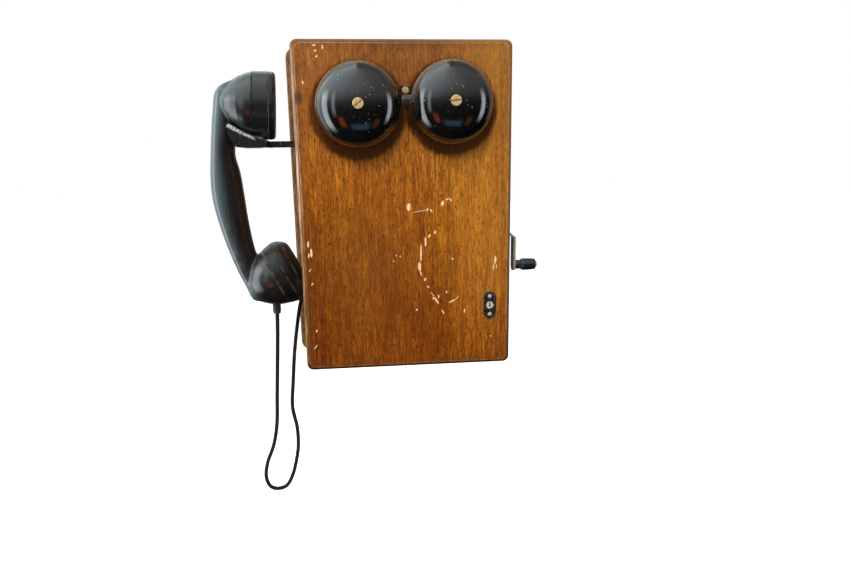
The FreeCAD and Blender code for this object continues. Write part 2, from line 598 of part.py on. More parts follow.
def knob_spindle():
    """Rivet head sunk flush in the arm, button end outside the knob."""
    start = CRANK_KNOB_X + 0.05
    return fuse(cylinder(on_knob(start), X, SPINDLE_HEAD_R, 0.95),
                cylinder(on_knob(start), X, SPINDLE_R, KNOB_X1 - CRANK_KNOB_X + 0.4),
                cylinder(on_knob(KNOB_X1 + 0.3), X, 3.0, 1.2))


def crank_knob():
    face = polygon_face([Vector(x, SHAFT_Y + r, KNOB_Z) for x, r in KNOB_PROFILE])
    return face.revolve(Vector(*on_knob(0)), X, 360)


save("crank_shaft", fuse(cylinder(on_shaft(SHAFT_X), X, SHAFT_R, SHOULDER_X - SHAFT_X),
                         cylinder(on_shaft(SHOULDER_X), X, THREAD_R, 5.0)))
save("crank_bushing", crank_bushing())
save("crank_arm", crank_arm())
save("crank_nut", crank_nut())
save("knob_spindle", knob_spindle())
save("crank_knob", crank_knob())
right_cuts.append(drill(on_shaft(INNER_X), X, BUSH_R + PRESS, BOARD + 1))


# ------------------------------------------------------------------ handset
def tipped(degrees):
    """Unit vector along +X, tipped up by the angle."""
    return Vector(math.cos(math.radians(degrees)), 0, math.sin(math.radians(degrees)))


# Each end is turned about axis through centre, which lies on the seam of bowl and cap.
# Profiles list (distance along the axis, radius); grille lists (ring radius, holes, hole radius).
RECEIVER = dict(
    centre=Vector(-137.8, HANDSET_Y, 97.6), axis=tipped(-3),
    bowl=[(-33, 4.0), (-31, 8.8), (-28, 13.2), (-25, 16.8), (-20, 21.0), (-14, 25.2), (-8, 27.9),
          (-0.15, 30.3)],
    hollow=[(1, 0), (1, 26.5), (-13, 22.5), (-18, 14), (-18, 0)],
    cap=[(0.0, 0), (0.0, 30.5), (13.4, 31.2), (14.0, 30.6), (14.6, 31.1), (17.6, 30.9),
         (19.4, 29.8), (20.0, 28.0), (16.5, 14.0), (15.8, 0)],
    cap_hollow=[(-1, 0), (-1, 26.6), (11.5, 26.6), (12.6, 14.0), (12.4, 0)],
    grille=[(0, 1, 1.6), (6.5, 6, 1.5)],
    capsule_r=24.0, capsule_length=13.5, trim_z=(30, 150))
TRANSMITTER = dict(
    centre=Vector(-126.2, HANDSET_Y, -66.5), axis=tipped(25.5),
    bowl=[(-31, 5.0), (-29, 11.0), (-24, 17.2), (-15, 24.2), (-7, 27.9), (-0.15, 29.4)],
    hollow=[(1, 0), (1, 25.5), (-12, 22.0), (-17, 14), (-17, 0)],
    cap=[(0.0, 0), (0.0, 29.8), (9.8, 32.0), (10.4, 31.4), (11.2, 31.9), (15.5, 31.0),
         (20.0, 28.4), (23.0, 25.4), (23.8, 23.5), (20.5, 12.0), (20.0, 0)],
    cap_hollow=[(-1, 0), (-1, 25.6), (14.0, 25.6), (16.6, 12.0), (16.4, 0)],
    grille=[(0, 1, 1.6), (5.5, 6, 1.5), (11.0, 12, 1.5)],
    capsule_r=22.0, capsule_length=14.5, trim_z=(-150, 10))
ENDS = (RECEIVER, TRANSMITTER)

# Handle sections from top to bottom: outer x, z, inner x, z, width along Y.
# The first and last run past the bowls as blunt corners.
HANDLE_SECTIONS = [
    (-169.2, 113.2, -152.0, 121.0, 20.0), (-173.0, 106.5, -150.0, 111.0, 24.0),
    (-174.6, 96.0, -151.5, 98.5, 25.0), (-176.8, 82.0, -153.6, 83.5, 25.0),
    (-178.7, 66.0, -156.0, 66.5, 25.0), (-180.2, 52.0, -157.5, 52.0, 25.0),
    (-181.6, 36.0, -155.2, 36.0, 25.5), (-182.1, 20.0, -153.5, 19.0, 26.0),
    (-179.0, 0.0, -151.4, -4.0, 26.5), (-174.2, -20.0, -148.3, -27.0, 26.5),
    (-169.6, -37.0, -144.6, -45.0, 26.5), (-162.8, -58.0, -139.0, -68.0, 27.0),
    (-157.0, -75.0, -133.0, -84.0, 26.5), (-153.6, -84.5, -131.0, -89.5, 24.0),
    (-150.8, -88.8, -131.0, -91.0, 20.0)]
HANDLE_POWER = 2.6                                            # superellipse exponent
CORD_TOP_X, CORD_TOP_Z = -128.4, -97.4                        # where the cord meets the handset
# the handset hangs in the fork turned a few degrees towards the wall
HANG_YAW, HANG_AT = 6.0, Vector(-150.0, HANDSET_Y, 0)


def radial(end):
    """Unit vector square to the end's axis, in the handset's centre plane."""
    direction = end["axis"].cross(Y)
    direction.normalize()
    return direction


def profile_points(end, profile):
    return [end["centre"] + end["axis"] * t + radial(end) * r for t, r in profile]


def turned(end, profile):
    return polygon_face(profile_points(end, profile)).revolve(end["centre"], end["axis"], 360)


def bowl(end):
    """Solid bowl with a smooth outer profile."""
    profile = end["bowl"]
    outer = profile_points(end, profile)
    seam, tail = profile_points(end, [(profile[-1][0], 0.0), (profile[0][0], 0.0)])
    curve = Part.BSplineCurve()
    curve.interpolate(outer)
    wire = Part.Wire([curve.toShape(), Part.makeLine(outer[-1], seam),
                      Part.makeLine(seam, tail), Part.makeLine(tail, outer[0])])
    return Part.Face(wire).revolve(end["centre"], end["axis"], 360)


def superellipse(value):
    return math.copysign(abs(value) ** (2.0 / HANDLE_POWER), value)


def handle_section(outer_x, outer_z, inner_x, inner_z, width):
    middle = Vector((outer_x + inner_x) / 2, HANDSET_Y, (outer_z + inner_z) / 2)
    half = Vector((inner_x - outer_x) / 2, 0, (inner_z - outer_z) / 2)
    points = []
    for k in range(20):
        angle = 2 * math.pi * k / 20
        points.append(middle + half * superellipse(math.cos(angle))
                      + Y * (width / 2 * superellipse(math.sin(angle))))
    curve = Part.BSplineCurve()
    curve.interpolate(points, PeriodicFlag=True)
    return Part.Wire([curve.toShape()])


def handset_handle():
    body = Part.makeLoft([handle_section(*row) for row in HANDLE_SECTIONS], True, False)
    for end in ENDS:
        body = body.fuse(bowl(end))
    for end in ENDS:                                          # trim what pokes past the seams
        beyond = Part.makeCylinder(40.0, 60, end["centre"] - end["axis"] * 0.15, end["axis"])
        body = body.cut(beyond.common(box((-200, -90), (-110, 0), end["trim_z"])))
    for end in ENDS:
        body = body.cut(turned(end, end["hollow"]))
    body.rotate(HANG_AT, Z, HANG_YAW)
    return body.cut(cylinder((CORD_TOP_X, HANDSET_Y, CORD_TOP_Z - 4.0), Z, 4.05, 14))


def end_cap(end):
    """Dished cap with rings of holes."""
    cap = turned(end, end["cap"]).cut(turned(end, end["cap_hollow"]))
    for ring_r, count, hole_r in end["grille"]:
        for k in range(count):
            angle = 2 * math.pi * k / count
            place = (end["centre"] + radial(end) * (ring_r * math.cos(angle))
                     + Y * (ring_r * math.sin(angle)))
            cap = cap.cut(Part.makeCylinder(hole_r, 20, place + end["axis"] * 8, end["axis"]))
    cap.rotate(HANG_AT, Z, HANG_YAW)
    return cap


def capsule(end):
    """Disc inside bowl and cap, with a shallow recess in the face towards the cap."""
    centre, axis, radius = end["centre"], end["axis"], end["capsule_r"]
    back = -2.5
    recess = back + end["capsule_length"] - 1.2
    disc = Part.makeCylinder(radius, end["capsule_length"], centre + axis * back, axis)
    disc = disc.cut(Part.makeCylinder(radius - 4, 2.0, centre + axis * recess, axis))
    disc.rotate(HANG_AT, Z, HANG_YAW)
    return disc


def cord_ferrule():
    ferrule = fuse(cylinder((CORD_TOP_X, HANDSET_Y, CORD_TOP_Z - 4.5), Z, 4.0, 10.5),
                   cylinder((CORD_TOP_X, HANDSET_Y, CORD_TOP_Z - 6.5), Z, 3.6, 3.0))
    return ferrule.cut(cylinder((CORD_TOP_X, HANDSET_Y, CORD_TOP_Z - 10), Z, CORD_R + 0.3, 20))


save("handset_handle", handset_handle())
for name, end in (("receiver", RECEIVER), ("transmitter", TRANSMITTER)):
    save(name + "_cap", end_cap(end))
    save(name + "_capsule", capsule(end))
save("cord_ferrule", cord_ferrule())

# ------------------------------------------------------------------ hook switch
HOOK_X, HOOK_Z, HOOK_PIN_R = -62.0, 60.5, 2.0                 # lever pivot (axis Y)
LEVER_BELOW, LEVER_ABOVE = 2.1, 3.7                           # lever faces from the pivot height
TINE_IN, TINE_T = 15.0, 4.0                                   # offset from centre plane, thickness
TINE_OUTLINE = [                                              # x, z above the pivot
    (-125.0, -LEVER_BELOW), (-149.0, -LEVER_BELOW), (-152.8, -1.6), (-156.2, 2.6),
    (-160.0, 10.5), (-160.2, 18.0), (-158.2, 19.4), (-142.6, 9.7), (-132.0, 6.4), (-125.0, 3.4)]
WINDOW_Y = around(HANDSET_Y, 5.0)                             # opening for the lever
WINDOW_Z = (HOOK_Z - 6.5, HOOK_Z + 10.5)
BRACKET_T = 3.0
BRACKET_SHELF_Z = HOOK_Z - 19.0                               # top of the bracket's shelf
# contact springs: height above the shelf, x of the right end
SPRINGS = [(4.0, -34.0), (7.8, -32.0), (11.5, -30.0)]


def hook_lever():
    """Lever with a cross bridge and two fork tines."""
    lever = box((-128.0, -34.0), around(HANDSET_Y, 4.0), (HOOK_Z - LEVER_BELOW, HOOK_Z + LEVER_ABOVE))
    bridge = box((-131.5, -125.0), around(HANDSET_Y, TINE_IN + TINE_T),
                 (HOOK_Z - LEVER_BELOW, HOOK_Z + LEVER_ABOVE - 0.6))
    tines = [prism([(x, y, HOOK_Z + z) for x, z in TINE_OUTLINE], Y * TINE_T)
             for y in (HANDSET_Y - TINE_IN - TINE_T, HANDSET_Y + TINE_IN)]
    lever = fuse(lever, bridge, *tines, cylinder((HOOK_X, HANDSET_Y - 4.0, HOOK_Z), Y, 5.0, 8.0))
    return lever.cut(cylinder((HOOK_X, HANDSET_Y - 10, HOOK_Z), Y, HOOK_PIN_R + RUN, 20))


def hook_slot_plate():
    plate = box((-OUTER_X - 1.2, -OUTER_X), around(HANDSET_Y, 10), (HOOK_Z - 13, HOOK_Z + 17))
    return plate.cut(box((-OUTER_X - 2, -OUTER_X + 1), around(HANDSET_Y, 4.6),
                         (HOOK_Z - 6.0, HOOK_Z + 10.0)))


def hook_bracket():
    """Plate on the left board's inner face with two pivot cheeks and a shelf."""
    plate = box((-INNER_X, -INNER_X + BRACKET_T), around(HANDSET_Y, 14), (HOOK_Z - 22, HOOK_Z + 14))
    plate = plate.cut(box((-INNER_X - 1, -INNER_X + 4), WINDOW_Y, WINDOW_Z))
    root = -INNER_X + 2.5
    cheeks = [box((root, HOOK_X + 6.0), around(HANDSET_Y + side * 6.2, 1.2), around(HOOK_Z, 7.0))
              for side in SIDES]
    shelf = box((root, -42.0), around(HANDSET_Y, 7.4), (BRACKET_SHELF_Z - 3, BRACKET_SHELF_Z))
    bracket = fuse(plate, *cheeks, shelf)
    bracket = bracket.cut(cylinder((HOOK_X, HANDSET_Y - 10, HOOK_Z), Y, HOOK_PIN_R + PRESS, 20))
    for side in SIDES:
        y, z = HANDSET_Y + side * 10.8, HOOK_Z - 16
        seat = (-INNER_X + BRACKET_T, y, z)
        bracket = bracket.cut(drill(seat, -X, WOOD_HOLE_R, 5))
        left_cuts.append(drill((-INNER_X, y, z), -X, WOOD_HOLE_R, 7.0))
        case_screws.append(wood_screw(seat, X, (0, 1, 0.2), WOOD_SHANK - 0.2))
    return bracket


def contact_set():
    """Contact springs clamped in an insulating block on the bracket's shelf."""
    block = box((-54.0, -44.0), around(HANDSET_Y, 6), (BRACKET_SHELF_Z, BRACKET_SHELF_Z + 13.0))
    springs = []
    for height, right_end in SPRINGS:
        z = BRACKET_SHELF_Z + height
        block = block.cut(box((-55, -43), around(HANDSET_Y, 2.6), around(z, 0.3)))
        springs.append(box((-56.5, right_end), around(HANDSET_Y, 2.5), around(z, 0.25)))
    return block, springs


left_cuts.append(box((-OUTER_X - 1, -INNER_X + 1), WINDOW_Y, WINDOW_Z))
save("hook_lever", hook_lever())
save("hook_slot_plate", hook_slot_plate())
save("hook_bracket", hook_bracket())
save("hook_pivot_pin", cylinder((HOOK_X, HANDSET_Y - 8.4, HOOK_Z), Y, HOOK_PIN_R, 16.8))
contact_block, contact_springs = contact_set()
save("contact_block", contact_block)
save("contact_springs", *contact_springs)

# ------------------------------------------------------------------ induction coil
COIL_Y, COIL_Z = -38.0, -105.0                                # coil axis (X)
BOBBIN_X, BOBBIN_LENGTH, BOBBIN_R = -52.0, 62.0, 5.0
FLANGE_T = 4.0


def coil_bobbin():
    flanges = [box((x, x + FLANGE_T), (CASE_BACK - 36.0, CASE_BACK), around(COIL_Z, 14))
               for x in (BOBBIN_X, BOBBIN_X + BOBBIN_LENGTH - FLANGE_T)]
    return fuse(cylinder((BOBBIN_X, COIL_Y, COIL_Z), X, BOBBIN_R, BOBBIN_LENGTH), *flanges)


def coil_winding():
    inset = FLANGE_T + 0.2
    start, length = (BOBBIN_X + inset, COIL_Y, COIL_Z), BOBBIN_LENGTH - 2 * inset
    return cylinder(start, X, 12.5, length).cut(drill(start, X, BOBBIN_R + PRESS, length + 1))


save("coil_bobbin", coil_bobbin())
save("coil_winding", coil_winding())

# ------------------------------------------------------------------ terminal strip
STRIP_X, STRIP_Z, STRIP_T = (-52.0, 60.0), 113.0, 12.0
STRIP_FRONT = CASE_BACK - STRIP_T


def terminal_strip():
    """Strip on the backboard with five terminal screws, held by a wood screw at each end."""
    strip = box(STRIP_X, (STRIP_FRONT, CASE_BACK), around(STRIP_Z, 9))
    strip = strip.makeFillet(1.5, edges_at(strip, "y", STRIP_FRONT))
    terminals = []
    for k in range(5):
        x = -36.0 + 20.0 * k
        strip = strip.cut(drill((x, STRIP_FRONT, STRIP_Z), Y, 1.85, 9))
        terminal = screw((x, STRIP_FRONT - 4.0, STRIP_Z), -Y, head=(4.0, 2.2), shank=(1.8, 12.0),
                         slot=(0.8, 0.9), slot_dir=(1, 0, 0.3 * (k - 2)))
        terminals.append(fuse(terminal, cylinder((x, STRIP_FRONT, STRIP_Z), -Y, 3.4, 3.0)))
    for x in (STRIP_X[0] + 5.0, STRIP_X[1] - 5.0):
        seat = (x, STRIP_FRONT, STRIP_Z)
        strip = strip.cut(drill(seat, Y, WOOD_HOLE_R, STRIP_T + 2))
        backboard_cuts.append(drill((x, CASE_BACK, STRIP_Z), Y, WOOD_HOLE_R, 8))
        case_screws.append(wood_screw(seat, -Y, (1, 0, 0.4), 18.0))
    return strip, terminals


strip, terminal_screws = terminal_strip()
save("terminal_strip", strip)
save("terminal_screws", *terminal_screws)

# ------------------------------------------------------------------ cord and its entry
ENTRY_Y, ENTRY_Z, ENTRY_R = -26.0, -84.0, 4.0                 # bushing in the left board
# corners of the cord's path from the handset's foot down and back up to the case:
# x, y, z, bend radius
CORD_PATH = [
    (CORD_TOP_X, HANDSET_Y, CORD_TOP_Z - 0.5, 0), (CORD_TOP_X, HANDSET_Y, -118.0, 80.0),
    (-137.0, -54.0, -225.0, 60.0), (-150.0, -53.5, -268.0, 40.0), (-151.5, -52.5, -297.5, 11.5),
    (-127.0, -49.0, -298.5, 13.0), (-116.0, -44.0, -251.0, 50.0), (-121.0, -38.0, -207.0, 70.0),
    (-115.5, -33.0, -142.0, 90.0), (-104.5, ENTRY_Y, ENTRY_Z, 7.0), (-76.0, ENTRY_Y, ENTRY_Z, 0)]


def cord_bushing():
    bush = fuse(cylinder((-OUTER_X, ENTRY_Y, ENTRY_Z), X, ENTRY_R, BOARD + 2.0),
                cylinder((-OUTER_X - 2.0, ENTRY_Y, ENTRY_Z), X, 6.0, 2.0))
    return bush.cut(cylinder((-OUTER_X - 3, ENTRY_Y, ENTRY_Z), X, CORD_R + 0.2, 20))


def handset_cord():
    """Round section swept along straight runs joined by arcs."""
    corners = [Vector(*row[:3]) for row in CORD_PATH]
    edges, last = [], corners[0]
    for i in range(1, len(corners) - 1):
        corner = corners[i]
        back, ahead = corners[i - 1] - corner, corners[i + 1] - corner
        limit = 0.49 * min(back.Length, ahead.Length)         # neighbouring arcs must not meet
        back.normalize()
        ahead.normalize()
        half_angle = back.getAngle(ahead) / 2.0
        setback = min(CORD_PATH[i][3] / math.tan(half_angle), limit)
        radius = setback * math.tan(half_angle)
        bisector = back + ahead
        bisector.normalize()
        start, finish = corner + back * setback, corner + ahead * setback
        middle = corner + bisector * (radius / math.sin(half_angle) - radius)
        if (start - last).Length > 1e-4:
            edges.append(Part.makeLine(last, start))
        edges.append(Part.Arc(start, middle, finish).toShape())
        last = finish
    edges.append(Part.makeLine(last, corners[-1]))
    section = Part.Wire([Part.makeCircle(CORD_R, corners[0], corners[1] - corners[0])])
    return Part.Wire(edges).makePipeShell([section], True, True)


save("cord_bushing", cord_bushing())
save("handset_cord", handset_cord())
left_cuts.append(drill((-OUTER_X, ENTRY_Y, ENTRY_Z), X, ENTRY_R + PRESS, BOARD + 1))

# ------------------------------------------------------------------ boards and door
WALL_HOLE_X, WALL_HOLE_Z, WALL_HOLE_R = 65.0, 120.0, 2.75     # four wall screw holes
LINE_HOLE_X, LINE_HOLE_Z, LINE_HOLE_R = 45.0, -112.0, 6.0     # line wire entry


def backboard():
    board = rounded_plate(BACK_WIDTH, BACK_HEIGHT, 10.0, (CASE_BACK, 0))
    board = board.makeFillet(2.5, edges_at(board, "y", CASE_BACK))
    holes = [(side_x * WALL_HOLE_X, side_z * WALL_HOLE_Z, WALL_HOLE_R)
             for side_x in SIDES for side_z in SIDES]
    for x, z, radius in holes + [(LINE_HOLE_X, LINE_HOLE_Z, LINE_HOLE_R)]:
        board = board.cut(drill((x, CASE_BACK, z), Y, radius, BACK_THICK + 1))
    return cut(board, *backboard_cuts)


def side_board(side, cuts):
    """Side board, its top and bottom outer edges rounded from front to back."""
    board = box(sorted((side * INNER_X, side * OUTER_X)), (CASE_FRONT, CASE_BACK),
                around(0, OUTER_Z))
    edges = [e for e in edges_at(board, "x", side * OUTER_X) if reach(e, "y") > 1]
    return cut(board.makeFillet(2.0, edges), *cuts)


def door_panel():
    door = rounded_plate(DOOR_WIDTH, DOOR_HEIGHT, 6.0, (DOOR_FRONT, DOOR_BACK))
    door = door.makeFillet(3.5, edges_at(door, "y", DOOR_FRONT))
    return cut(door, *door_cuts)


save("backboard", backboard())
save("case_side_left", side_board(-1, left_cuts))
save("case_side_right", side_board(1, right_cuts))
save("case_top", box(around(0, INNER_X), (CASE_FRONT, CASE_BACK), (INNER_Z, OUTER_Z)))
save("case_bottom", box(around(0, INNER_X), (CASE_FRONT, CASE_BACK), (-OUTER_Z, -INNER_Z)))
save("door_panel", door_panel())
save("case_wood_screws", *case_screws)
save("door_wood_screws", *door_screws)
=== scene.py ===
# A wooden wall telephone: a box with a door, two gongs and a hook at the left carrying the
# handset, a crank at the right, and a cloth cord hanging in a loop below.
# The front faces -Y, +X is the viewer's right and +Z is up. The CAD frame is in metres;
# shapes and textures below are measured in millimetres.
import math

import bmesh
import bpy
import numpy as np
from mathutils import Matrix, Vector


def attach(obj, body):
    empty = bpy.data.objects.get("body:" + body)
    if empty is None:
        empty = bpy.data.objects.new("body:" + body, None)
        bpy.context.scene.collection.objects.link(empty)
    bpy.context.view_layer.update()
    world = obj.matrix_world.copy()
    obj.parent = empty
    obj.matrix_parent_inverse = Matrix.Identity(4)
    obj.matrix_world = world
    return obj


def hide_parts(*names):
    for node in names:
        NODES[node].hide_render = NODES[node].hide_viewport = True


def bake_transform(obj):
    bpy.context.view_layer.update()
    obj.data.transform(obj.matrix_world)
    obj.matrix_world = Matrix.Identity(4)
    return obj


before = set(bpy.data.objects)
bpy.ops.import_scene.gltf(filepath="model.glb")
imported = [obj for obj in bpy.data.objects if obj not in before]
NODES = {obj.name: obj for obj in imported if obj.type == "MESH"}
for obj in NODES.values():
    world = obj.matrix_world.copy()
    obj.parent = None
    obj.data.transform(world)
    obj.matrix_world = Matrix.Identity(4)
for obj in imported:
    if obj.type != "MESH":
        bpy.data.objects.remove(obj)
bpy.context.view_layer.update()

scene = bpy.context.scene
try:
    scene.view_settings.view_transform = "Standard"
    scene.view_settings.look = "None"
except TypeError:
    # guards against a colour configuration that lacks these names
    pass

MM = 1000.0                                  # millimetres in a metre

# Door panel: half sizes and the plane of its front face
DOOR_HALF_WIDTH = 92.4
DOOR_HALF_HEIGHT = 143.0
DOOR_FRONT = -113.5

# Handset: centres and outward axes of the two bowls before the handset is turned on its hook
HANDSET_Y = -54.0
RECEIVER_CENTRE = np.array([-137.8, HANDSET_Y, 97.6])
RECEIVER_AXIS = np.array([math.cos(math.radians(-3)), 0, math.sin(math.radians(-3))])
MOUTH_CENTRE = np.array([-126.2, HANDSET_Y, -66.5])
MOUTH_AXIS = np.array([math.cos(math.radians(25.5)), 0, math.sin(math.radians(25.5))])
HANG_YAW = math.radians(6.0)
HANG_AT = (-150.0, HANDSET_Y)

# Cord
CORD_RADIUS = 2.02
CORD_SIDES = 20
BRAID_HEIGHT = 0.12
BRAID_STRANDS = 8                            # waves around the cord
BRAID_TURNS = 0.62                           # waves per millimetre along it


def hang(points, at=HANG_AT):
    """Turn points with the handset about the vertical line through `at`."""
    turned = np.array(points, float)
    dx, dy = turned[:, 0] - at[0], turned[:, 1] - at[1]
    c, s = math.cos(HANG_YAW), math.sin(HANG_YAW)
    turned[:, 0] = at[0] + dx * c - dy * s
    turned[:, 1] = at[1] + dx * s + dy * c
    return turned


# ---------------------------------------------------------------- node graphs
class Wire:
    """A node output. Arithmetic on it adds Math nodes to its graph."""

    def __init__(self, graph, socket):
        self.graph = graph
        self.socket = socket

    def __add__(self, other):
        return self.graph.math("ADD", self, other)

    def __radd__(self, other):
        return self.graph.math("ADD", other, self)

    def __sub__(self, other):
        return self.graph.math("SUBTRACT", self, other)

    def __rsub__(self, other):
        return self.graph.math("SUBTRACT", other, self)

    def __mul__(self, other):
        return self.graph.math("MULTIPLY", self, other)

    def __abs__(self):
        return self.graph.math("ABSOLUTE", self)

    def max(self, other):
        return self.graph.math("MAXIMUM", self, other)

    def min(self, other):
        return self.graph.math("MINIMUM", self, other)

    def jitter(self, size):
        """Centre a 0..1 noise on zero and scale it."""
        return (self - 0.5) * size

    def step(self, start, end, low=0.0, high=1.0, smooth=True):
        """Go from low at start to high at end; start may be the larger."""
        node = self.graph.node("ShaderNodeMapRange")
        node.interpolation_type = "SMOOTHSTEP" if smooth else "LINEAR"
        for socket, value in zip(node.inputs, (self, start, end, low, high)):
            self.graph.put(socket, value)
        return Wire(self.graph, node.outputs[0])


class Graph:
    """Builds nodes in an emptied node tree."""

    def __init__(self, tree):
        self.tree = tree
        tree.nodes.clear()

    def node(self, kind, **properties):
        node = self.tree.nodes.new(kind)
        for key, value in properties.items():
            setattr(node, key, value)
        return node

    def source(self, kind, output, **properties):
        return Wire(self, self.node(kind, **properties).outputs[output])

    def put(self, socket, value):
        """Link a wire or set a value; a three part colour gets full alpha."""
        if isinstance(value, Wire):
            self.tree.links.new(value.socket, socket)
        elif value is not None:
            if socket.type == "RGBA" and len(value) == 3:
                value = (*value, 1.0)
            socket.default_value = value

    def math(self, operation, a, b=None):
        node = self.node("ShaderNodeMath", operation=operation)
        self.put(node.inputs[0], a)
        self.put(node.inputs[1], b)
        return Wire(self, node.outputs[0])

    def vector_math(self, operation, a, b=None, output=0):
        node = self.node("ShaderNodeVectorMath", operation=operation)
        self.put(node.inputs[0], a)
        self.put(node.inputs[1], b)
        return Wire(self, node.outputs[output])

    def length(self, vector):
        return self.vector_math("LENGTH", vector, output=1)

    def displace(self, vector, noise_color, size):
        """Shift a vector by a colour noise centred on zero."""
        centred = self.vector_math("SUBTRACT", noise_color, (0.5, 0.5, 0.5))
        return self.vector_math("ADD", vector, self.vector_math("MULTIPLY", centred, size))

    def xyz(self, vector):
        node = self.node("ShaderNodeSeparateXYZ")
        self.put(node.inputs[0], vector)
        return [Wire(self, output) for output in node.outputs]

    def place(self, vector, scale=(1, 1, 1), shift=(0, 0, 0), turn=(0, 0, 0), kind="POINT"):
        node = self.node("ShaderNodeMapping", vector_type=kind)
        self.put(node.inputs[0], vector)
        node.inputs["Location"].default_value = shift
        node.inputs["Rotation"].default_value = turn
        node.inputs["Scale"].default_value = scale
        return Wire(self, node.outputs[0])

    def texture(self, kind, vector, scale, shift, output, **values):
        """A texture over a scaled vector; one scale number serves all three axes."""
        if not isinstance(scale, tuple):
            scale = (scale,) * 3
        placed = self.place(vector, scale, shift)
        node = self.node(kind)
        self.put(node.inputs["Vector"], placed)
        node.inputs["Scale"].default_value = 1.0
        for key, value in values.items():
            node.inputs[key].default_value = value
        return Wire(self, node.outputs[output])

    def noise(self, vector, scale, detail, rough, distortion=0.0, shift=(0, 0, 0), output="Fac"):
        return self.texture("ShaderNodeTexNoise", vector, scale, shift, output,
                            Detail=detail, Roughness=rough, Distortion=distortion)

    def cells(self, vector, scale, shift=(0, 0, 0)):
        """Distance to the nearest Voronoi point."""
        return self.texture("ShaderNodeTexVoronoi", vector, scale, shift, "Distance")

    def ramp(self, value, stops):
        node = self.node("ShaderNodeValToRGB")
        self.put(node.inputs[0], value)
        elements = node.color_ramp.elements
        while len(elements) < len(stops):
            elements.new(0.5)
        for element, (position, color) in zip(elements, stops):
            element.position = position
            element.color = (*color, 1.0)
        return Wire(self, node.outputs[0])

    def mix(self, factor, a, b, blend="MIX", clamp=True):
        node = self.node("ShaderNodeMix", data_type="RGBA", blend_type=blend)
        node.clamp_factor = clamp
        for index, value in ((0, factor), (6, a), (7, b)):
            self.put(node.inputs[index], value)
        return Wire(self, node.outputs[2])

    def tinted(self, color, tint):
        return self.mix(1.0, color, tint, blend="MULTIPLY")

    def bump(self, height, strength, depth):
        node = self.node("ShaderNodeBump")
        node.inputs["Strength"].default_value = strength
        node.inputs["Distance"].default_value = depth
        self.put(node.inputs["Height"], height)
        return Wire(self, node.outputs[0])


MATERIALS = {}                               # by material name
SURFACE_SOCKETS = {
    "base": "Base Color", "metal": "Metallic", "rough": "Roughness",
    "spec": "Specular IOR Level", "coat": "Coat Weight", "coat_rough": "Coat Roughness",
    "normal": "Normal", "sheen": "Sheen Weight", "sheen_rough": "Sheen Roughness",
    "emission": "Emission Color", "emission_strength": "Emission Strength"}


class Material(Graph):
    """A Principled material; `mm` holds object coordinates in millimetres."""

    def __init__(self, name):
        material = bpy.data.materials.new(name)
        material.use_nodes = True
        super().__init__(material.node_tree)
        MATERIALS[name] = material
        output = self.node("ShaderNodeOutputMaterial")
        self.surface = self.node("ShaderNodeBsdfPrincipled")
        self.put(output.inputs[0], Wire(self, self.surface.outputs[0]))
        coordinates = self.source("ShaderNodeTexCoord", "Object")
        self.mm = self.place(coordinates, scale=(1000, 1000, 1000))

    def set(self, **values):
        for key, value in values.items():
            self.put(self.surface.inputs[SURFACE_SOCKETS[key]], value)


def scaled(color, factor):
    return tuple(min(1.0, x * factor) for x in color)


# ---------------------------------------------------------------- wood
# Pale marks on the door face: centre x, centre z, lean in degrees, half length, half width
CHIPS = [
    (2.1, 3.7, 1.2, 3.47, 2.0), (11.4, -0.4, 80, 7.4, 0.32), (19.0, 0.9, 10, 1.48, 0.74),
    (22.3, 0.1, -30, 1.85, 0.69), (32.8, 6.4, 15, 2.54, 1.4), (37.1, 9.9, 60, 1.85, 0.65),
    (40.2, 9.3, -50, 1.85, 0.74), (25.7, -19.8, 25, 1.57, 0.93), (20.3, -22.9, 35, 2.13, 0.83),
    (16.9, -28.0, 0, 4.16, 1.06), (12.5, -38.2, 1.5, 8.56, 0.88), (11.1, -50.9, -2, 4.16, 1.6),
    (12.2, -57.3, -15, 2.54, 0.74), (16.0, -63.0, 30, 1.67, 0.93), (18.8, -70.2, -45, 1.67, 0.65),
    (22.7, -77.4, -33, 3.24, 0.46), (26.4, -83.6, -33, 3.7, 0.93), (28.3, -79.9, 0, 1.67, 0.69),
    (23.5, -81.2, 50, 1.39, 0.65), (41.1, -84.5, 65, 3.24, 0.88), (45.8, -81.4, 40, 2.78, 0.32),
    (32.3, -94.6, -22, 2.31, 0.74), (52.7, -94.5, 0, 1.85, 0.74), (35.9, -75.5, 0, 1.02, 0.74),
    (41.5, -44.6, -70, 1.29, 0.69), (-10.0, -40.1, 0, 0.74, 0.6), (-6.4, -41.0, 0, 0.74, 0.6),
    (-12.8, -45.3, 0, 0.69, 0.6), (8.0, -91.5, 0, 1.0, 0.8), (-89.0, -27.9, 5, 3.01, 0.93),
    (-86.5, -35.7, 0, 3.93, 1.11), (-88.8, -38.0, 8, 2.31, 0.74), (-88.4, -51.1, 35, 1.85, 0.56),
    (-87.1, -64.0, 45, 1.62, 0.56), (81.6, -46.7, 4, 4.16, 1.11), (80.2, -53.9, 8, 3.01, 0.6),
    (82.8, -53.0, 0, 2.08, 0.42), (-75.3, 141.0, 80, 1.39, 0.74), (-68.2, 139.5, 0, 1.57, 0.69),
    (-74.6, 136.5, 60, 1.2, 0.74), (-73.6, 132.0, 30, 1.02, 0.69), (-86.1, 111.1, 0, 1.29, 0.93),
    (-85.2, -108.1, 0, 1.11, 0.83), (-86.8, -123.4, 40, 2.78, 0.46), (77.7, -119.9, 0, 0.83, 0.6)]
CHIP_WIDTH_FACTOR = 0.84
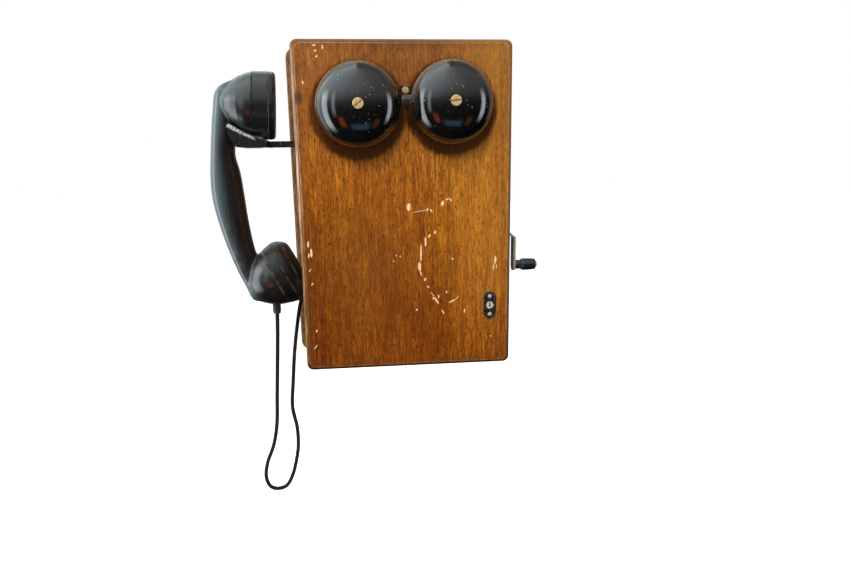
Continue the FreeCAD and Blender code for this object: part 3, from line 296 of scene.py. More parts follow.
# Dark smudges: centre x, centre z, radius in x, radius in z, strength
SMUDGES = [(-91.0, 98.0, 6.0, 7.0, 0.75), (-45.0, 46.2, 1.2, 1.6, 0.95),
           (-87.0, 120.0, 9.0, 10.0, 0.25)]
# Painted shadow discs on the door around the gongs: centre x, centre z, radius
GONG_SHADOWS = [(-40.0, 87.0, 39.0), (41.0, 89.0, 38.0)]
EDGE_CORNER = 6.0                            # corner radius of the distance to the door's edge


def face_distance(g, shift, scale):
    """Distance from a point of the XZ plane, after scaling x and z."""
    return g.length(g.place(g.mm, shift=(shift[0], 0, shift[1]), scale=(scale[0], 0.0, scale[1])))


def edge_distance(x, z):
    """Distance outside the door's rounded outline, negative inside it."""
    dx = abs(x) - DOOR_HALF_WIDTH
    dz = abs(z) - DOOR_HALF_HEIGHT
    corner_x = (dx + EDGE_CORNER).max(0.0)
    corner_z = (dz + EDGE_CORNER).max(0.0)
    squared = corner_x * corner_x + corner_z * corner_z
    outside = x.graph.math("SQRT", squared)
    return outside + ((dx + EDGE_CORNER).max(dz + EDGE_CORNER).min(0.0) - EDGE_CORNER)


def chip_distance(g):
    """Distance to the nearest chip; 1 lies on its outline."""
    wobble = g.noise(g.mm, (1.25, 1.25, 0.55), detail=4, rough=0.8, output="Color")
    wobbled = g.displace(g.mm, wobble, (2.3, 0.0, 2.4))
    nearest = None
    for x, z, lean, half_length, half_width in CHIPS:
        point = wobbled
        if nearest is not None:
            # y carries the last result along; the huge y scale below makes it negligible
            carrier = g.node("ShaderNodeCombineXYZ")
            g.put(carrier.inputs[1], nearest)
            point = g.vector_math("ADD", wobbled, Wire(g, carrier.outputs[0]))
        # TEXTURE mapping subtracts the centre, turns, then divides by the half sizes
        local = g.place(point, shift=(x, 0, z), turn=(0, math.radians(lean), 0),
                        scale=(half_width * CHIP_WIDTH_FACTOR, 1e6, half_length), kind="TEXTURE")
        distance = g.length(local)
        nearest = distance if nearest is None else nearest.min(distance)
    return nearest


def door_finish(g, color, height, rough, warp, mottle):
    """Edges, wear, dirt, chips and painted light and shade of the door; returns new colour, height
    and roughness.
    """
    bare = color
    x, y, z = g.xyz(g.mm)
    edge = edge_distance(x, z)
    front = y.step(start=DOOR_FRONT + 0.5, end=DOOR_FRONT + 0.15)
    coarse = g.noise(g.mm, (0.35, 0.35, 0.10), detail=4, rough=0.7)
    speckle = g.noise(g.mm, (1.4, 1.4, 0.7), detail=2, rough=0.6)

    # worn line where the flat face meets the rounded edge, stronger at the upper left
    bias = (z * 0.55 - x) * 0.0011 + 0.0
    ridge = 1.0 - abs(edge + speckle.jitter(0.9)) * 1.15
    wear = (ridge + ((coarse * 1.7 - 0.92) + bias)).step(start=0.45, end=0.95)

    # rounded edge: streaky sides painted pale as a sheen of the bright room at grazing angles, with
    # painted shade at the right, top and bottom
    side_streak = g.noise(g.mm, (0.5, 0.5, 0.045), detail=4, rough=0.65)
    side = g.mix(side_streak.step(start=0.35, end=0.68), (0.170, 0.098, 0.072), (0.52, 0.40, 0.34))
    side = g.mix(x.step(start=88.0, end=92.0), side, (0.050, 0.030, 0.018))
    side = g.mix(z.step(start=138.0, end=144.0), side, (0.085, 0.072, 0.055))
    side = g.mix(z.step(start=-137.5, end=-142.5), side, (0.010, 0.003, 0.0008))
    bevel = y.step(start=DOOR_FRONT + 0.02, end=DOOR_FRONT + 0.30)
    bevel_fade = y.step(start=DOOR_FRONT + 2.5, end=DOOR_FRONT + 7.0, low=0.90, high=0.66)
    color = g.mix(bevel * bevel_fade, color, side)
    color = g.mix(wear * (speckle * 0.45 + 0.5), color, (0.60, 0.40, 0.23))

    # painted greyish sheen towards the top, standing for glare of the light from above
    color = g.mix(z.step(start=0.0, end=150.0, high=0.42), color, (0.190, 0.085, 0.034))
    # deeper brown towards the foot
    foot = z.step(start=60.0, end=-150.0) * x.step(start=90.0, end=20.0, low=0.45)
    color = g.mix(foot, color, g.tinted(color, (0.58, 0.42, 0.10)))
    # darker at the lower left
    lower_left = x.step(start=10.0, end=-90.0, high=0.8) * z.step(start=60.0, end=-40.0)
    color = g.mix(lower_left, color, g.tinted(color, (0.72, 0.66, 0.5)))
    # warmer at the right
    right_side = x.step(start=10.0, end=80.0) * z.step(start=-140.0, end=-20.0, high=0.16)
    color = g.mix(right_side, color, (0.60, 0.27, 0.045))
    # dark band inside the edge
    band = (edge + coarse * 3.0).step(start=-6.5, end=0.5, high=0.30)
    color = g.mix(band * front, color, (0.08, 0.030, 0.012))
    # dim oval in the upper middle
    oval = face_distance(g, shift=(-0.10, -3.4), scale=(0.017, 0.026))
    color = g.mix(oval.step(start=1.3, end=0.4, high=0.8) * front, color,
                  g.tinted(color, (0.70, 0.68, 0.80)))
    # a few long darker growth lines
    growth = g.noise(g.displace(g.mm, warp, (30, 0, 0)), (0.20, 0.20, 0.004),
                     detail=2, rough=0.5, shift=(2, 5, 7)).step(start=0.60, end=0.68)
    color = g.mix((growth * mottle.step(start=0.35, end=0.6)) * 0.45, color,
                  (0.100, 0.030, 0.004))
    # mottled darker cloud left of centre
    cloud = face_distance(g, shift=(0.55, 0.62), scale=(0.016, 0.011))
    cloud = (cloud + mottle.jitter(1.3)).step(start=1.25, end=0.2) * 0.34
    color = g.mix(cloud * front, color, (0.125, 0.040, 0.008))

    for cx, cz, rx, rz, strength in SMUDGES:
        distance = face_distance(g, shift=(-cx / rx, -cz / rz), scale=(1 / rx, 1 / rz))
        mark = (distance + speckle.jitter(1.6)).step(start=1.1, end=0.35, high=strength)
        color = g.mix(mark * front, color, (0.040, 0.022, 0.014))
    # painted shadow of the gongs on the door, darkest at their rims
    for cx, cz, radius in GONG_SHADOWS:
        distance = face_distance(g, shift=(-cx, -cz), scale=(1.0, 1.0))
        mark = (distance + coarse.jitter(7.0)).step(start=radius + 5.5, end=radius + 0.5, high=0.90)
        color = g.mix(mark * front, color, (0.034, 0.009, 0.0015))

    # pale chips from the table, and small scattered nicks
    chip = (chip_distance(g) + speckle.jitter(0.8)).step(start=1.12, end=0.84) * front
    nick = g.cells(g.mm, (0.06, 0.06, 0.045)).step(start=0.050, end=0.025)
    nick = nick * mottle.step(start=0.52, end=0.60)
    chip = chip.max(nick * (front * 0.55))
    color = g.mix(chip, color, g.mix(speckle, (0.62, 0.36, 0.17), (0.80, 0.54, 0.31)))
    # the back of the panel keeps the bare grain, only darker
    color = g.mix(y.step(start=-97.5, end=-95.2), color, g.tinted(bare, (0.62, 0.60, 0.75)))
    return color, height - chip * 1.6, rough + chip.max(wear) * 0.3


def wood(name, grain="Z", light=1.0, hue=(1, 1, 1), seed=0.0, rough=0.42, door=False, raw=False):
    """Varnished wood with grain along X or Z; `raw` leaves it matt and bare."""
    g = Material(name)

    def along(across, lengthwise):
        """Noise scale across and along the grain."""
        if grain == "Z":
            return (across, across, lengthwise)
        return (lengthwise, across, across)

    def stain(color):
        return tuple(min(1.0, max(0.0, c * h * light)) for c, h in zip(color, hue))

    shifted = g.place(g.mm, shift=(seed * 37.1, seed * 11.3, seed * 53.7))
    warp = g.noise(shifted, along(0.02, 0.006), detail=3, rough=0.5, output="Color")
    warped = g.displace(shifted, warp, (14, 14, 10))
    broad = g.noise(warped, along(0.022, 0.006), detail=3, rough=0.55)
    figure = g.noise(warped, along(0.085, 0.010), detail=5, rough=0.6, distortion=0.6)
    streak = g.noise(warped, along(0.42, 0.016), detail=6, rough=0.62)
    fine = g.noise(shifted, along(1.0, 0.085), detail=4, rough=0.80)
    pores = g.noise(shifted, along(0.80, 0.20), detail=2, rough=0.65)
    pores = pores.step(start=0.570, end=0.640)
    small_pores = g.noise(shifted, along(1.7, 0.42), detail=1, rough=0.5, shift=(9, 4, 2))
    small_pores = small_pores.step(start=0.58, end=0.70)

    color = g.ramp(broad * 0.55 + figure * 0.45, [
        (0.34, stain((0.285, 0.078, 0.0035))), (0.46, stain((0.365, 0.108, 0.0055))),
        (0.56, stain((0.440, 0.145, 0.0090))), (0.68, stain((0.520, 0.195, 0.0160)))])
    # dark and light streaks, then dark and light fine grain, then the pores
    for amount, tone in (
            (streak.step(start=0.58, end=0.38, high=0.50), (0.150, 0.040, 0.0030)),
            (streak.step(start=0.54, end=0.68, high=0.16), (0.62, 0.270, 0.030)),
            (fine.step(start=0.57, end=0.40, high=0.72), (0.115, 0.031, 0.003)),
            (fine.step(start=0.54, end=0.70, high=0.36), (0.72, 0.330, 0.050)),
            (pores * 0.74, (0.034, 0.009, 0.002)),
            (small_pores * 0.50, (0.045, 0.015, 0.005))):
        color = g.mix(amount, color, stain(tone))
    height = streak * 0.25 - (pores * 0.8 + small_pores * 0.35)

    if raw:
        roughness = 0.72
    else:
        mottle = g.noise(shifted, (0.22, 0.22, 0.16), detail=4, rough=0.6)
        roughness = mottle * 0.14 + (rough - 0.07)
    if door:
        color, height, roughness = door_finish(g, color, height, roughness, warp, mottle)
    g.set(base=color, rough=roughness, spec=0.06, coat=0.0 if raw else 0.035, coat_rough=0.14,
          normal=g.bump(height, strength=0.45, depth=0.00022))


CASE_HUE = (0.92, 1.20, 4.0)
wood("wood_door", door=True)
wood("wood_case", light=0.74, hue=CASE_HUE, seed=1.7, rough=0.46)
wood("wood_case_ends", grain="X", light=0.74, hue=CASE_HUE, seed=2.9, rough=0.46)
wood("wood_back", light=0.86, hue=(0.88, 1.45, 9.0), seed=4.1, rough=0.48)
wood("wood_raw", grain="X", light=1.35, hue=(1.0, 1.3, 3.2), seed=6.3, raw=True)


# ---------------------------------------------------------------- metals
def metal(name, color, rough, tarnish, amount, scale, brush, bump=0.12, shine=0.85):
    """Tarnished metal; `brush` is the noise scale of its brushing, or None."""
    g = Material(name)
    patches = g.noise(g.mm, scale, detail=5, rough=0.65)
    spots = g.noise(g.mm, scale * 6, detail=3, rough=0.6)
    base = g.mix(patches.step(start=0.46, end=0.66) * amount, color, tarnish)
    base = g.mix(spots.step(start=0.55, end=0.75, high=amount * 0.7), base, scaled(color, 0.45))
    relief = spots
    if brush:
        relief = g.noise(g.mm, brush, detail=3, rough=0.7)
        base = g.mix(relief.step(start=0.35, end=0.7, high=0.18), base, scaled(color, 1.3))
    g.set(base=base, metal=patches.step(start=0.70, end=0.42, low=0.35, high=shine),
          rough=patches * 0.22 + (relief * 0.10 + (rough - 0.16)),
          normal=g.bump(relief, strength=bump, depth=0.00008))


# name, colour, roughness, tarnish colour, tarnish amount, noise scale, brush scale,
# and for some bump strength and highest metallic value
METALS = [
    ("steel_dull", (0.42, 0.39, 0.35), 0.40, (0.16, 0.085, 0.045), 0.55, 0.35, (0.4, 0.4, 4.0)),
    ("steel_bright", (0.66, 0.64, 0.60), 0.28, (0.25, 0.19, 0.13), 0.30, 0.6, (2.5, 0.3, 2.5)),
    ("nickel_silver", (0.70, 0.67, 0.60), 0.25, (0.32, 0.27, 0.2), 0.25, 0.4, (3.0, 3.0, 0.4)),
    ("brass_aged", (0.62, 0.43, 0.17), 0.34, (0.17, 0.10, 0.035), 0.60, 0.25, (0.6, 3.0, 3.0)),
    ("brass_bright", (0.72, 0.50, 0.23), 0.34, (0.16, 0.080, 0.022), 0.75, 0.75, (2.6, 2.6, 2.6),
     0.35, 0.55),
    ("lock_nickel", (0.74, 0.68, 0.57), 0.34, (0.14, 0.10, 0.06), 0.80, 0.9, (2.6, 2.6, 2.6),
     0.25, 0.45),
    ("arm_worn_steel", (0.44, 0.42, 0.37), 0.46, (0.20, 0.16, 0.11), 0.45, 0.35, (0.4, 0.4, 3.0),
     0.15, 0.40),
    ("iron_grey", (0.30, 0.30, 0.30), 0.45, (0.12, 0.07, 0.045), 0.45, 0.3, None, 0.25)]
for row in METALS:
    metal(*row)


# ---------------------------------------------------------------- enamel and bakelite
def paint_left_sheen(g, color, tone, patches, grime, normal):
    """Paint a pale sheen on the surfaces that face the left window light, least where they face
    back.
    """
    nx, ny, _ = normal
    facing = (nx + patches.jitter(0.5)).step(start=0.15, end=-0.95)
    amount = (facing * ny.step(start=0.75, end=0.05, low=0.2)) * (0.55 + grime * 0.6)
    return g.mix(amount, color, tone)


def handle_sheen_and_brown(g, color, patches, grime, normal):
    """Paint a pale highlight along the outer edge of the handle where it faces left, and brown its
    lower part.
    """
    nx, ny, _ = normal
    across = g.source("ShaderNodeAttribute", "Fac", attribute_name="across")
    streaks = g.noise(g.mm, (0.35, 0.35, 0.03), detail=4, rough=0.65)
    amount = (across + streaks.jitter(0.50)).step(start=0.66, end=0.10)
    amount = amount * ny.step(start=0.75, end=0.05, low=0.15)
    amount = amount * nx.step(start=0.5, end=-0.1)
    # painted highlight along the outer left edge of the handle
    color = g.mix(amount * (0.55 + grime * 0.5), color, (0.066, 0.084, 0.088))
    low = g.xyz(g.mm)[2].step(start=10.0, end=-60.0, high=0.75)
    return g.mix(low * patches.step(start=0.40, end=0.62), color, (0.016, 0.010, 0.008))


def rim_dust(g, rim, grime, fine, normal):
    """Dust on the upward parts of a band that begins between the two y values of `rim`."""
    nx, _, nz = normal
    y = g.xyz(g.mm)[1]
    band = (y + grime.jitter(9.0)).step(start=rim[0], end=rim[1])
    band = band * (nz + nx * -0.25).step(start=-0.15, end=0.45)
    return (band * fine.step(start=0.36, end=0.60)) * 0.85


def rubbed_and_lit_tines(g):
    """Mask of paint rubbed away in lumps along the upper edge of the hook's tines, painted pale
    also as a highlight there.
    """
    x, _, z = g.xyz(g.mm)
    above = (x * 0.445 + z * 0.897) - 1.27
    lump = g.noise(g.mm, 0.55, detail=3, rough=0.7, shift=(4, 2, 9))
    mask = (above + lump.jitter(3.0)).step(start=-4.4, end=-2.6)
    mask = mask * x.step(start=-134.0, end=-139.0)
    return mask * lump.step(start=0.40, end=0.52)


def rubbed_edge(g, color, grime, centre, axis, offsets):
    """Brown rubbed rings around a cap, at the given offsets along its axis."""
    dot = g.vector_math("DOT_PRODUCT", g.mm, axis, output=1)
    along = (dot - float(np.dot(centre, axis))) + grime.jitter(0.5)
    mask = None
    for offset in offsets:
        ring = abs(along - offset).step(start=0.65, end=0.20)
        mask = ring if mask is None else mask.max(ring)
    near = g.length(g.vector_math("SUBTRACT", g.mm, centre))
    mask = mask * near.step(start=41.0, end=40.0)
    gaps = g.noise(g.mm, 0.16, detail=3, rough=0.6, shift=(5, 1, 8))
    mask = mask * gaps.step(start=0.40, end=0.60)
    return g.mix(mask * 0.62, color, (0.16, 0.105, 0.064))


def enamel(name, color, rough, dust, film, coat, specks, peel, chips=0.0, under=None,
           up=(0.30, 0.98), up_jitter=0.7, sheen_tone=None, handle=False, rim=None, spec=0.5,
           edges=(), worn_and_lit=False):
    """Glossy dark coating with dust.

    film: amount of dust on upward faces; up: normal z where it starts and is full;
    specks: amount of dust spots; peel: bump strength; chips: chipping down to `under`;
    edges: (centre, axis, offsets) of rubbed rings.
    """
    g = Material(name)
    patches = g.noise(g.mm, 0.09, detail=5, rough=0.6)
    grime = g.noise(g.mm, 0.8, detail=4, rough=0.65)
    fine = g.noise(g.mm, 3.2, detail=2, rough=0.6)
    base = g.mix(patches, scaled(color, 0.75), scaled(color, 1.5))
    normal = g.xyz(g.source("ShaderNodeNewGeometry", "Normal"))
    # painted pale sheen where the surface faces the left window light
    if sheen_tone:
        base = paint_left_sheen(g, base, sheen_tone, patches, grime, normal)

    # dust: a film on upward faces, sparse large spots and small spots
    upward = (normal[2] + grime.jitter(up_jitter)).step(start=up[0], end=up[1])
    dusty = (upward * grime.step(start=0.28, end=0.68)) * film
    if rim:
        dusty = dusty.max(rim_dust(g, rim, grime, fine, normal))
    spots = g.cells(g.mm, 0.26).step(start=0.125, end=0.075)
    clusters = g.noise(g.mm, 0.11, detail=2, rough=0.5, shift=(3, 9, 1))
    spots = (spots * clusters.step(start=0.46, end=0.56)) * specks
    small_spots = g.cells(g.mm, 0.8, shift=(7, 2, 5))
    small_spots = small_spots.step(start=0.14, end=0.07, high=0.30 * specks)
    dusty = dusty.max(spots).max(small_spots)

    if handle:
        # painted highlight on the handle's outer edge, and a browner lower part
        base = handle_sheen_and_brown(g, base, patches, grime, normal)
    base = g.mix(dusty, base, g.mix(fine, dust, scaled(dust, 1.7)))
    roughness = dusty * 0.5 + ((rough - 0.05) + grime * 0.10)
    height = grime * 0.6 + dusty * 0.5
    if worn_and_lit:
        # pale lumps on the tines' top edge: rubbed paint with a painted highlight
        mask = rubbed_and_lit_tines(g)
        base = g.mix(mask * 0.9, base, g.mix(fine, (0.20, 0.19, 0.18), (0.62, 0.61, 0.60)))
        roughness = roughness + mask * 0.25
    for centre, axis, offsets in edges:
        base = rubbed_edge(g, base, grime, centre, axis, offsets)
    if chips:
        chipped = (grime + fine * 0.35).step(start=0.80 - chips, end=0.86 - chips) * 1.0
        base = g.mix(chipped, base, under)
        roughness = roughness + chipped * 0.2
        height = height - chipped
    g.set(base=base, rough=roughness, spec=spec, coat=(1.0 - (dusty * 1.6).min(1.0)) * coat,
          coat_rough=max(0.03, rough * 0.45), normal=g.bump(height, strength=peel, depth=0.00025))


def hung_ring(centre, axis, offsets):
    """Ring places about a bowl's axis once the handset hangs turned on its hook."""
    hung_centre = tuple(hang([centre])[0].tolist())
    hung_axis = tuple(hang([axis], at=(0.0, 0.0))[0].tolist())
    return (hung_centre, hung_axis, offsets)


UNDERCOAT = (0.20, 0.12, 0.07)
PAINT_DUST = (0.16, 0.125, 0.10)
BAKELITE_DUST = (0.085, 0.092, 0.092)

enamel("gong_enamel", (0.0022, 0.0022, 0.0022), rough=0.10, dust=(0.22, 0.175, 0.13), film=0.9,
       coat=0.9, specks=1.0, peel=0.04, up=(0.80, 0.985), up_jitter=0.30, rim=(-136.5, -122.5))
enamel("black_japan", (0.011, 0.010, 0.009), rough=0.33, dust=PAINT_DUST, film=0.35,
       chips=0.04, coat=0.35, under=UNDERCOAT, specks=0.25, peel=0.25)
enamel("guard_black", (0.006, 0.0055, 0.005), rough=0.24, dust=PAINT_DUST, film=0.30,
       chips=0.03, coat=0.5, under=UNDERCOAT, specks=0.5, peel=0.15)
enamel("lever_black", (0.0032, 0.0030, 0.0028), rough=0.30, dust=(0.42, 0.42, 0.42), film=1.0,
       coat=0.5, specks=0.4, peel=0.6, up=(0.22, 0.52), up_jitter=1.5, worn_and_lit=True)
enamel("magnet_paint", (0.105, 0.010, 0.006), rough=0.34, dust=(0.16, 0.10, 0.08), film=0.35,
       chips=0.05, coat=0.3, under=(0.25, 0.24, 0.23), specks=0.3, peel=0.3)
enamel("bakelite_black", (0.0045, 0.0047, 0.0046), rough=0.30, dust=BAKELITE_DUST, film=0.30,
       coat=0.60, specks=0.45, peel=0.14, sheen_tone=(0.052, 0.068, 0.072))
enamel("bakelite_handset", (0.0042, 0.0043, 0.0042), rough=0.30, dust=BAKELITE_DUST, film=0.16,
       coat=0.55, specks=0.55, peel=0.16, handle=True,
       edges=[hung_ring(RECEIVER_CENTRE, RECEIVER_AXIS, (-0.5,)),
              hung_ring(MOUTH_CENTRE, MOUTH_AXIS, (-0.5,))])
enamel("bakelite_ear_cap", (0.0046, 0.0048, 0.0050), rough=0.32, dust=(0.085, 0.085, 0.080),
       film=0.14, coat=0.35, specks=0.7, peel=0.16, sheen_tone=(0.040, 0.052, 0.056), spec=0.4,
       edges=[hung_ring(RECEIVER_CENTRE, RECEIVER_AXIS, (14.0,))])
enamel("bakelite_mouth_cap", (0.0050, 0.0042, 0.0034), rough=0.36, dust=(0.075, 0.060, 0.045),
       film=0.14, coat=0.10, specks=0.6, peel=0.2, sheen_tone=(0.022, 0.024, 0.024), spec=0.22,
       edges=[hung_ring(MOUTH_CENTRE, MOUTH_AXIS, (0.3, 10.5, 20.0))])
enamel("ebonite", (0.022, 0.017, 0.013), rough=0.50, dust=(0.12, 0.10, 0.08), film=0.4,
       coat=0.0, specks=0.3, peel=0.3)


# ---------------------------------------------------------------- windings
def winding(name, dark, pale, axis, pitch=0.55):
    """Cotton covered wire laid in close turns along an axis."""
    g = Material(name)
    along = g.xyz(g.mm)["XYZ".index(axis)]
    turns = g.math("SINE", along * (2 * math.pi / pitch))
    patches = g.noise(g.mm, 0.6, detail=4, rough=0.6)
    fuzz = g.noise(g.mm, 5.0, detail=2, rough=0.6)
    color = g.mix(patches, dark, pale)
    # darker between the turns: painted shade in the grooves
    color = g.mix(turns.step(start=0.2, end=-0.9, high=0.75), color, scaled(dark, 0.25))
    color = g.mix(fuzz.step(start=0.5, end=0.75, high=0.35), color, scaled(pale, 1.9))
    g.set(base=color, rough=0.62, spec=0.35, coat=0.12, coat_rough=0.4,
          normal=g.bump(turns + fuzz * 0.5, strength=0.6, depth=0.00012))


GREEN_COTTON = {"dark": (0.055, 0.115, 0.050), "pale": (0.085, 0.150, 0.070)}
winding("cotton_winding_x", **GREEN_COTTON, axis="X")
winding("cotton_winding_y", **GREEN_COTTON, axis="Y")
winding("cotton_winding_arm", dark=(0.17, 0.060, 0.030), pale=(0.24, 0.09, 0.045), axis="Y",
        pitch=0.6)

# ---------------------------------------------------------------- materials on the CAD pieces
PIECES = {
    "wood_door": ["door_panel"],
    "wood_case": ["case_side_left", "case_side_right"],
    "wood_case_ends": ["case_top", "case_bottom"],
    "wood_back": ["backboard"],
    "wood_raw": ["generator_shelf", "terminal_strip"],
    "steel_dull": ["hinge_case_leaves", "hinge_door_leaves", "hinge_pins", "hook_bracket",
                   "gong_posts", "hammer_rod"],
    "arm_worn_steel": ["crank_arm"],
    "guard_black": ["hammer_guard", "hammer_head", "lock_plate"],
    "steel_bright": ["case_wood_screws", "door_wood_screws", "hook_pivot_pin", "crank_shaft",
                     "crank_nut", "knob_spindle", "generator_pinion"],
    "nickel_silver": ["contact_springs", "receiver_capsule", "transmitter_capsule"],
    "brass_aged": ["crank_bushing", "generator_end_plate_left", "generator_end_plate_right",
                   "terminal_screws", "drive_gear"],
    "brass_bright": ["front_brass_screws"],
    "lock_nickel": ["lock_barrel", "lock_plate_screws"],
    "iron_grey": ["generator_pole_pieces", "ringer_frame", "ringer_cores", "ringer_armature",
                  "generator_armature"],
    "magnet_paint": ["generator_magnets", "ringer_magnet"],
    "gong_enamel": ["gong_left", "gong_right"],
    "black_japan": ["hook_slot_plate"],
    "lever_black": ["hook_lever"],
    "bakelite_black": ["crank_knob"],
    "bakelite_handset": ["handset_handle"],
    "bakelite_ear_cap": ["receiver_cap"],
    "bakelite_mouth_cap": ["transmitter_cap"],
    "ebonite": ["contact_block", "coil_bobbin", "cord_bushing", "cord_ferrule"],
    "cotton_winding_x": ["coil_winding"],
    "cotton_winding_y": ["ringer_coils"],
    "cotton_winding_arm": ["generator_winding"]}
for material_name, piece_names in PIECES.items():
    for piece_name in piece_names:
        piece = NODES[piece_name]
        if not piece.material_slots:
            piece.data.materials.append(MATERIALS[material_name])
        for slot in piece.material_slots:
            slot.material = MATERIALS[material_name]

# Edge bevels: piece, width, segments
BEVELS = [
    ("hook_lever", 0.9, 3), ("hammer_guard", 0.35, 2), ("crank_arm", 0.45, 3),
    ("case_side_left", 0.5, 2), ("case_side_right", 0.5, 2), ("case_top", 0.4, 2),
    ("case_bottom", 0.4, 2), ("hook_slot_plate", 0.3, 2), ("ringer_frame", 0.3, 2),
    ("generator_magnets", 0.8, 3), ("generator_end_plate_left", 0.3, 2),
    ("generator_end_plate_right", 0.3, 2), ("coil_bobbin", 0.5, 2), ("hook_bracket", 0.3, 2),
    ("ringer_magnet", 0.5, 2), ("crank_nut", 0.25, 2), ("generator_shelf", 0.4, 2)]
for piece_name, width, segments in BEVELS:
    bevel = NODES[piece_name].modifiers.new("edge", "BEVEL")
    bevel.width = width / MM
    bevel.segments = segments
    bevel.limit_method = "ANGLE"
    bevel.angle_limit = math.radians(38)


# ---------------------------------------------------------------- mesh helpers
def shade_smooth(mesh):
    mesh.polygons.foreach_set("use_smooth", [True] * len(mesh.polygons))


def new_object(name, verts, faces, material):
    """A smooth shaded object from points in millimetres."""
    mesh = bpy.data.meshes.new(name)
    mesh.from_pydata([tuple(x / MM for x in vert) for vert in verts], [], faces)
    mesh.validate()
    mesh.update()
    ob = bpy.data.objects.new(name, mesh)
    scene.collection.objects.link(ob)
    mesh.materials.append(material)
    shade_smooth(mesh)
    return ob


def face_outward(mesh):
    bm = bmesh.new()
    bm.from_mesh(mesh)
    bmesh.ops.recalc_face_normals(bm, faces=bm.faces)
    bm.to_mesh(mesh)
    bm.free()


def apply_modifiers(ob):
    depsgraph = bpy.context.evaluated_depsgraph_get()
    mesh = bpy.data.meshes.new_from_object(ob.evaluated_get(depsgraph))
    ob.modifiers.clear()
    old = ob.data
    ob.data = mesh
    bpy.data.meshes.remove(old)


def spline(points, count):
    """Rows evenly spaced by length on a Catmull-Rom curve through the given rows."""
    P = np.array(points, float)
    padded = np.vstack([2 * P[0] - P[1], P, 2 * P[-1] - P[-2]])
    dense = []
    for i in range(len(P) - 1):
        p0, p1, p2, p3 = padded[i:i + 4]
        for t in np.linspace(0, 1, 40, endpoint=False):
            dense.append(0.5 * ((2 * p1) + (-p0 + p2) * t + (2 * p0 - 5 * p1 + 4 * p2 - p3) * t * t
                                + (-p0 + 3 * p1 - 3 * p2 + p3) * t ** 3))
    dense.append(P[-1])
    dense = np.array(dense)
    run = np.r_[0, np.cumsum(np.linalg.norm(np.diff(dense, axis=0), axis=1))]
    even = np.linspace(0, run[-1], count)
    return np.stack([np.interp(even, run, column) for column in dense.T], 1)


def tube_faces(rings, sides):
    """Walls and end caps over rings of equal vertex count."""
    faces = []
    for i in range(rings - 1):
        for k in range(sides):
            k2 = (k + 1) % sides
            faces.append((i * sides + k, i * sides + k2,
                          (i + 1) * sides + k2, (i + 1) * sides + k))
    faces.append(tuple(range(sides - 1, -1, -1)))
    faces.append(tuple((rings - 1) * sides + k for k in range(sides)))
    return faces


def lathe(name, start, axis, profile, material, sides=96):
    """Solid of revolution about axis from start; profile rows are (along, radius).

    A profile that starts and ends off the axis is closed into a ring.
    """
    start, axis = np.array(start, float), np.array(axis, float)
    axis = axis / np.linalg.norm(axis)
    helper = np.array([0, 1.0, 0]) if abs(axis[1]) < 0.9 else np.array([0, 0, 1.0])
    u = np.cross(axis, helper)
    u /= np.linalg.norm(u)
    v = np.cross(axis, u)
    verts, rings = [], []
    for along, radius in profile:
        if radius < 1e-6:
            rings.append([len(verts)])
            verts.append(start + axis * along)
            continue
        rings.append(list(range(len(verts), len(verts) + sides)))
        for k in range(sides):
            angle = 2 * math.pi * k / sides
            verts.append(start + axis * along + u * (radius * math.cos(angle))
                         + v * (radius * math.sin(angle)))
    pairs = list(zip(rings, rings[1:]))
    if len(rings[0]) > 1 and len(rings[-1]) > 1:
        pairs.append((rings[-1], rings[0]))
    faces = []
    for near, far in pairs:
        for k in range(sides):
            k2 = (k + 1) % sides
            if len(near) == 1:
                faces.append((near[0], far[k2], far[k]))
            elif len(far) == 1:
                faces.append((near[k], near[k2], far[0]))
            else:
                faces.append((near[k], near[k2], far[k2], far[k]))
    ob = new_object(name, verts, faces, material)
    face_outward(ob.data)
    return ob


# ---------------------------------------------------------------- handset
# Handle sections from top to bottom: outer x, outer z, inner x, inner z, width in y
HANDLE_SECTIONS = [
    (-169.2, 113.2, -152.0, 121.0, 20.0), (-173.0, 106.5, -150.0, 111.0, 24.0),
    (-174.6, 96.0, -151.5, 98.5, 25.0), (-176.8, 82.0, -153.6, 83.5, 25.0),
    (-178.7, 66.0, -156.0, 66.5, 25.0), (-180.2, 52.0, -157.5, 52.0, 25.0),
    (-181.8, 36.0, -154.2, 36.0, 25.5), (-182.2, 18.0, -152.3, 18.0, 26.0),
    (-180.2, 0.0, -150.4, -4.0, 26.5), (-175.9, -20.0, -147.6, -27.0, 26.5),
    (-171.2, -37.0, -144.2, -45.0, 26.5), (-164.2, -58.0, -138.8, -68.0, 27.0),
    (-157.0, -75.0, -133.0, -84.0, 26.5), (-153.6, -84.5, -131.0, -89.5, 24.0),
    (-150.8, -88.8, -131.0, -91.0, 20.0)]
HANDLE_RINGS = 110
HANDLE_SIDES = 56
HANDLE_SQUARENESS = 2.35                     # superellipse exponent of the section
HANDLE_TAPER = 0.06                          # how much narrower the inner edge is
# Bowl profiles: distance along the bowl's axis, radius
RECEIVER_BOWL = [
    (-33.5, 0), (-33.0, 4.0), (-31.0, 8.8), (-28.0, 13.2), (-25.0, 16.9), (-20.0, 21.3),
    (-14, 25.3), (-8, 28.1), (-4, 29.4), (-0.3, 30.3), (-0.3, 0)]
MOUTH_BOWL = [
    (-31.5, 0), (-31.0, 5.0), (-29, 11.0), (-24, 17.4), (-19, 21.6), (-15, 24.3),
    (-11, 26.3), (-7, 27.9), (-3, 29.0), (-0.3, 29.5), (-0.3, 0)]
HANDSET_VOXEL = 0.00085                      # metres


